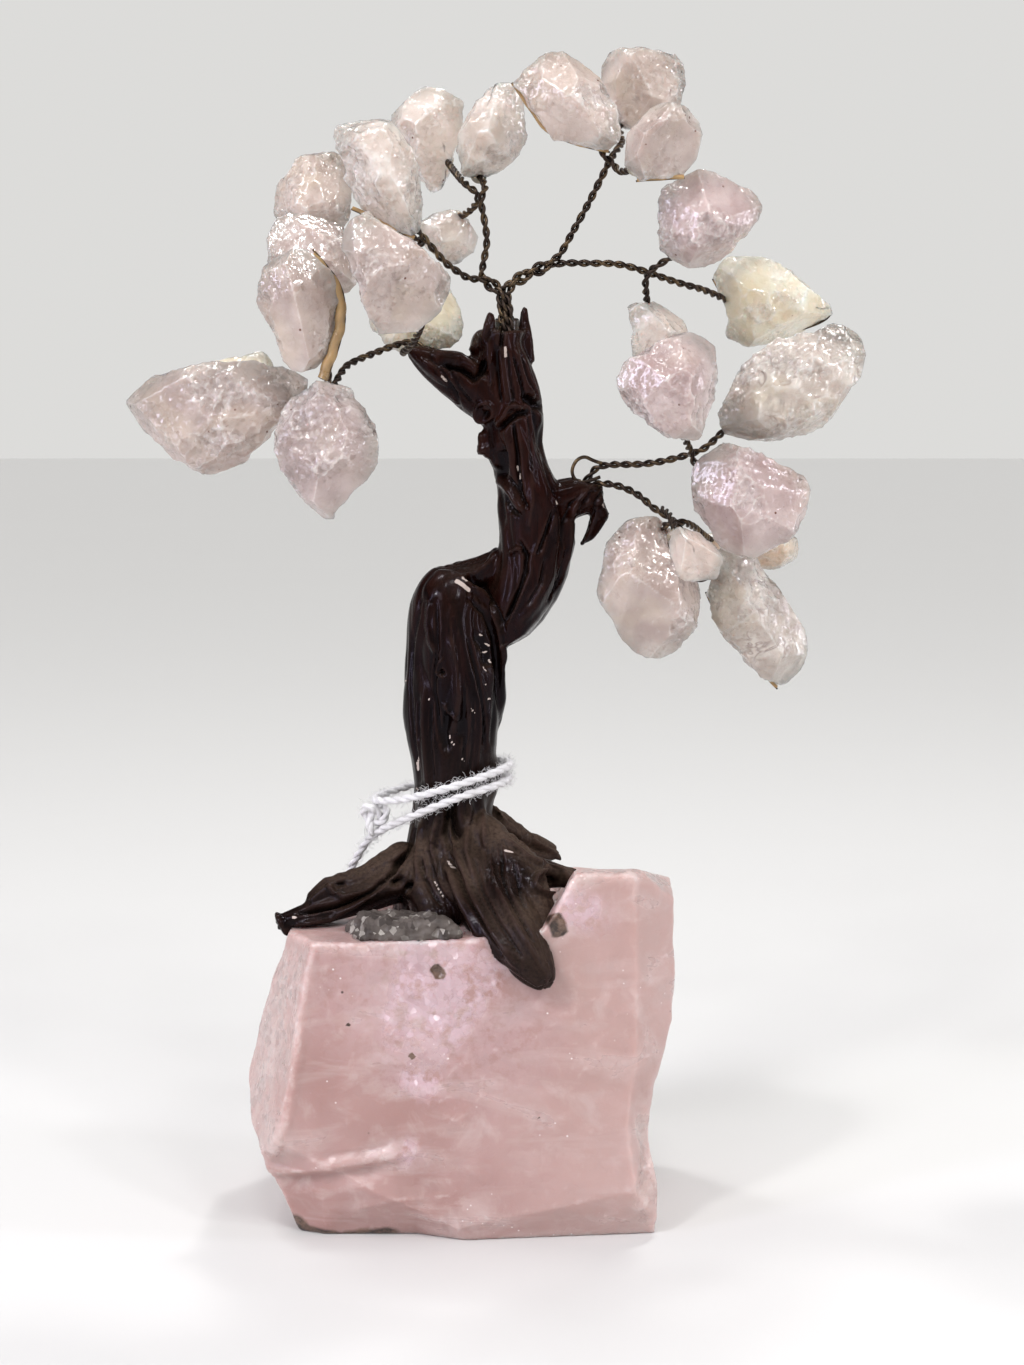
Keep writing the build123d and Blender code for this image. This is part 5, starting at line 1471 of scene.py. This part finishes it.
def flow_of(places):
    """For each place: how far along its nearest limb it is, and its angle round that limb."""
    closest = np.full(len(places), FAR)
    along = np.zeros(len(places))
    angle = np.zeros(len(places))
    for name in [*LIMBS, *WEBS]:
        middles, radii = limb_stations(name)
        done = 0.0
        for before, after, radius_before, radius_after in zip(middles, middles[1:], radii, radii[1:]):
            run = after - before
            length = np.linalg.norm(run)
            direction = run / length
            share = np.clip((places - before) @ direction / length, 0, 1)
            away = places - (before + share[:, None] * run)
            radius = radius_before + share * (radius_after - radius_before)
            ratio = np.linalg.norm(away, axis=1) / radius
            back = np.array((0.0, 1.0, 0.0)) - direction * direction[1]
            back /= np.linalg.norm(back)
            side = np.cross(direction, back)
            closer = ratio < closest
            angle = np.where(closer, np.arctan2(away @ side, away @ back), angle)
            along = np.where(closer, done + share * length, along)
            closest = np.where(closer, ratio, closest)
            done += length
    return along, angle


def grooves(along, angle, count, twist, warp, start):
    """Rounded strands with sharp creases between them, from 0 in a crease to 1 on a strand."""
    phase = angle / math.tau * count + along * twist + warp + start
    return np.sqrt(np.abs(np.sin(math.pi * phase)))


def with_webs(mesh):
    """The trunk's mesh with the webs in its forks added as rows of swellings."""
    joined = bmesh.new()
    joined.from_mesh(mesh)
    for rows in WEBS.values():
        for before, after in zip(rows, rows[1:]):
            for share in (0.0, 0.33, 0.67, 1.0):
                right, back, up, width, depth = Vector(before).lerp(Vector(after), share)
                middle = Vector((right * ROOT_SPREAD, back * ROOT_SPREAD, SHELF_HEIGHT + up * TRUNK_HEIGHT))
                size = Matrix.Diagonal((width * WAIST_WIDTH, width * WAIST_WIDTH, depth * WAIST_WIDTH, 1.0))
                place = Matrix.Translation(middle) @ size
                bmesh.ops.create_icosphere(joined, subdivisions=3, radius=1.0, matrix=place)
    joined.to_mesh(mesh)
    joined.free()
    return mesh


def settled(places):
    """Places with the right roots sunk on to the stone, and the right flank drawn in to its edge."""
    moved = places.copy()
    right = rising(places[:, 0], 3 * MM, 14 * MM)
    low = falling(places[:, 2], 92 * MM, 12 * MM)
    behind = rising(places[:, 1], -9 * MM, 5 * MM)
    far_back = rising(places[:, 1], 5 * MM, 6 * MM)
    moved[:, 2] -= right * low * behind * (4.2 + 0.8 * far_back) * MM
    moved[:, 0] -= right * right * low * far_back * 2.4 * MM
    pixels, pixel_size = seen_at(places)
    limit = np.interp(pixels[:, 1], FLANK_HEIGHTS, FLANK_EDGES) - FLANK_SOFTNESS
    over = np.maximum(pixels[:, 0] - limit, 0)
    kept = FLANK_SOFTNESS * (1 - np.exp(-over / FLANK_SOFTNESS))
    held = rising(pixels[:, 1], FLANK_TOP, FLANK_FADE) * falling(pixels[:, 1], FLANK_FOOT, FLANK_FADE)
    moved[:, 0] -= held * (over - kept) * pixel_size
    return moved


def dust_on(mesh, places):
    """How dusty each place of the trunk is: where it faces up, and on its skirt at the right."""
    facing_up = rising(normals_of(mesh)[:, 2], 0.05, 0.5)
    low = falling(places[:, 2], 100 * MM, 15 * MM)
    bare_toe = np.maximum(rising(places[:, 2], 58 * MM, 13 * MM), 0.30)
    patchy = np.clip(0.75 + 1.2 * noise_at(places, 9 * MM, 504), 0, 1)
    right_skirt = rising(places[:, 0], 4 * MM, 8 * MM) * low
    dust = facing_up * (0.22 + 0.50 * low) * patchy + 0.12 * low + 0.75 * right_skirt * patchy
    return np.clip(dust * bare_toe, 0, 1)


def add_trunk():
    """The carved trunk: grooves along its limbs, drawn ribs and creases, dust and chips."""
    mesh = remeshed(with_webs(merged_copy("trunk")), TRUNK_GRID, 7)
    set_places(mesh, settled(places_of(mesh)))
    places = places_of(mesh)
    normals = normals_of(mesh)
    along, angle = flow_of(places)
    warp = 0.55 * layered_noise(places, 16 * MM, 501, 2)
    broad = grooves(along, angle, 5, 14.0, warp, 0.2)
    middling = grooves(along, angle, 12, 22.0, 2 * warp, 0.1)
    fine = grooves(along, angle, 27, 30.0, 4 * warp, 0.3)
    strength = 0.5 + 0.5 * noise_at(places, 11 * MM, 502)
    away = np.clip(0.45 + 0.8 * normals[:, 1], 0.45, 1)
    push = BROAD_GROOVES * away * (broad - 0.75)
    push += MIDDLING_GROOVES * (middling - 0.8) * strength
    push += FINE_GROOVES * (fine - 0.8)
    push += 0.35 * MM * layered_noise(places, 8 * MM, 503, 2)
    deeper = 1.15 + 0.5 * falling(places[:, 2], 84 * MM, 8 * MM)
    drawn = deeper * carved(places, normals, TRUNK_RIBS + TRUNK_CREASES)
    set_places(mesh, places + normals * (push + drawn)[:, None])
    mark_edges(mesh, 6, 0.10 * MM)
    # Painted shade marked in the grooves and drawn creases, for the lacquer to darken
    crevice = np.clip(1.1 - 0.9 * broad - 0.35 * middling, 0, 1) * away + np.clip(-drawn / (0.9 * MM), 0, 1)
    set_attribute(mesh, "crevice", np.clip(crevice, 0, 1))
    set_attribute(mesh, "dust", dust_on(mesh, places))
    set_attribute(mesh, "chips", covered(places, normals, TRUNK_CHIPS))
    add_piece("carved_trunk", mesh, LACQUER, "trunk_lacquer", "trunk")


add_trunk()

# Putty and glue
putty_mesh = remeshed(merged_copy("bedding_putty"), PUTTY_GRID, 1)
putty_places = places_of(putty_mesh)
push = 0.6 * MM + 0.8 * MM * layered_noise(putty_places, 1.8 * MM, 601, 3)
set_places(putty_mesh, putty_places + normals_of(putty_mesh) * push[:, None])
add_piece("rough_putty", putty_mesh, PUTTY, "bedding_putty", "bedding_putty")

for node, finish in (("leaf_glue", BEAD_GLUE), ("socket_glue", DARK_GLUE)):
    add_piece(f"{node}_set", remeshed(merged_copy(node), GLUE_GRID, 2), finish, "clear_glue", node)


# Floor and pale surroundings
floor_mesh = bpy.data.meshes.new("floor")
floor_mesh.from_pydata([(-3, -3, 0), (3, -3, 0), (3, 3, 0), (-3, 3, 0)], [], [(0, 1, 2, 3)])
floor_values = {"Base Color": (0.64, 0.635, 0.625, 1.0), "Roughness": 0.8}
new_piece("floor", floor_mesh, shaded(new_material("pale_floor")[0], floor_values))


def add_surroundings():
    """Even pale light, a pale backdrop for the camera and clear stones, and a darker ceiling for gloss."""
    world = bpy.data.worlds.new("surroundings")
    world.use_nodes = True
    tree = world.node_tree
    tree.nodes.clear()
    rays = put(tree, "ShaderNodeLightPath").outputs
    seen = maths(tree, "MAXIMUM", rays["Is Camera Ray"], rays["Is Transmission Ray"])
    seen = maths(tree, "MAXIMUM", seen, rays["Is Glossy Ray"])
    direction = put(tree, "ShaderNodeTexCoord").outputs["Generated"]
    upward = put(tree, "ShaderNodeSeparateXYZ", {"Vector": direction}).outputs["Z"]
    above = maths(tree, "MULTIPLY", spread(tree, upward, 0.06, 0.42), rays["Is Glossy Ray"])
    dome = blend_colour(tree, above, (0.72, 0.715, 0.70), (0.09, 0.09, 0.11))
    even = put(tree, "ShaderNodeBackground", {"Color": (1.0, 0.99, 0.97, 1.0), "Strength": 0.45}).outputs[0]
    backdrop = put(tree, "ShaderNodeBackground", {"Color": dome, "Strength": 1.0}).outputs[0]
    mixed = put(tree, "ShaderNodeMixShader", {0: seen, 1: even, 2: backdrop}).outputs[0]
    put(tree, "ShaderNodeOutputWorld", {"Surface": mixed})
    bpy.context.scene.world = world


add_surroundings()


# Lamps: broad light from in front and above, two tall strips and small glints that show in gloss

def aimed(name, data, place, target):
    """Puts a lamp at a place, turned to face another."""
    lamp = in_scene(name, data)
    lamp.location = place
    lamp.rotation_euler = (Vector(target) - Vector(place)).to_track_quat("-Z", "Y").to_euler()


def broad_light(name, place, strength, angle):
    """Light that comes evenly from a broad part of the room."""
    data = bpy.data.lights.new(name, "SUN")
    data.energy = strength
    data.angle = math.radians(angle)
    aimed(name, data, place, (0, 0, 0))


def strip_light(name, place, width, height, power, colour=(1.0, 1.0, 1.0)):
    """A lamp whose shape shows in gloss."""
    data = bpy.data.lights.new(name, "AREA")
    data.shape = "RECTANGLE"
    data.size = width
    data.size_y = height
    data.energy = power
    data.color = colour
    aimed(name, data, place, (0.0, 0.0, 0.12))


CEILING = [(0.25, 0.45, 1.0), (-0.35, 0.10, 1.0), (-0.75, -0.9, 0.95), (0.55, -0.8, 0.9), (0.0, -0.6, 1.1)]
GLINTS = [(0.15, 0.25, 0.70), (-0.20, 0.10, 0.75), (-0.30, -0.45, 0.55), (0.35, -0.35, 0.50)]
broad_light("front", (-0.6, -1.0, 0.75), strength=0.43, angle=24)
for number, place in enumerate(CEILING):
    broad_light(f"ceiling_{number}", place, strength=0.40, angle=9)
strip_light("left_strip", (-0.50, -0.35, 0.30), 0.07, 0.5, power=1.25, colour=(0.80, 0.77, 1.0))
strip_light("right_strip", (0.55, -0.10, 0.30), 0.025, 0.5, power=0.85, colour=(0.90, 0.88, 1.0))
for number, place in enumerate(GLINTS):
    strip_light(f"glint_{number}", place, 0.05, 0.05, power=0.7)
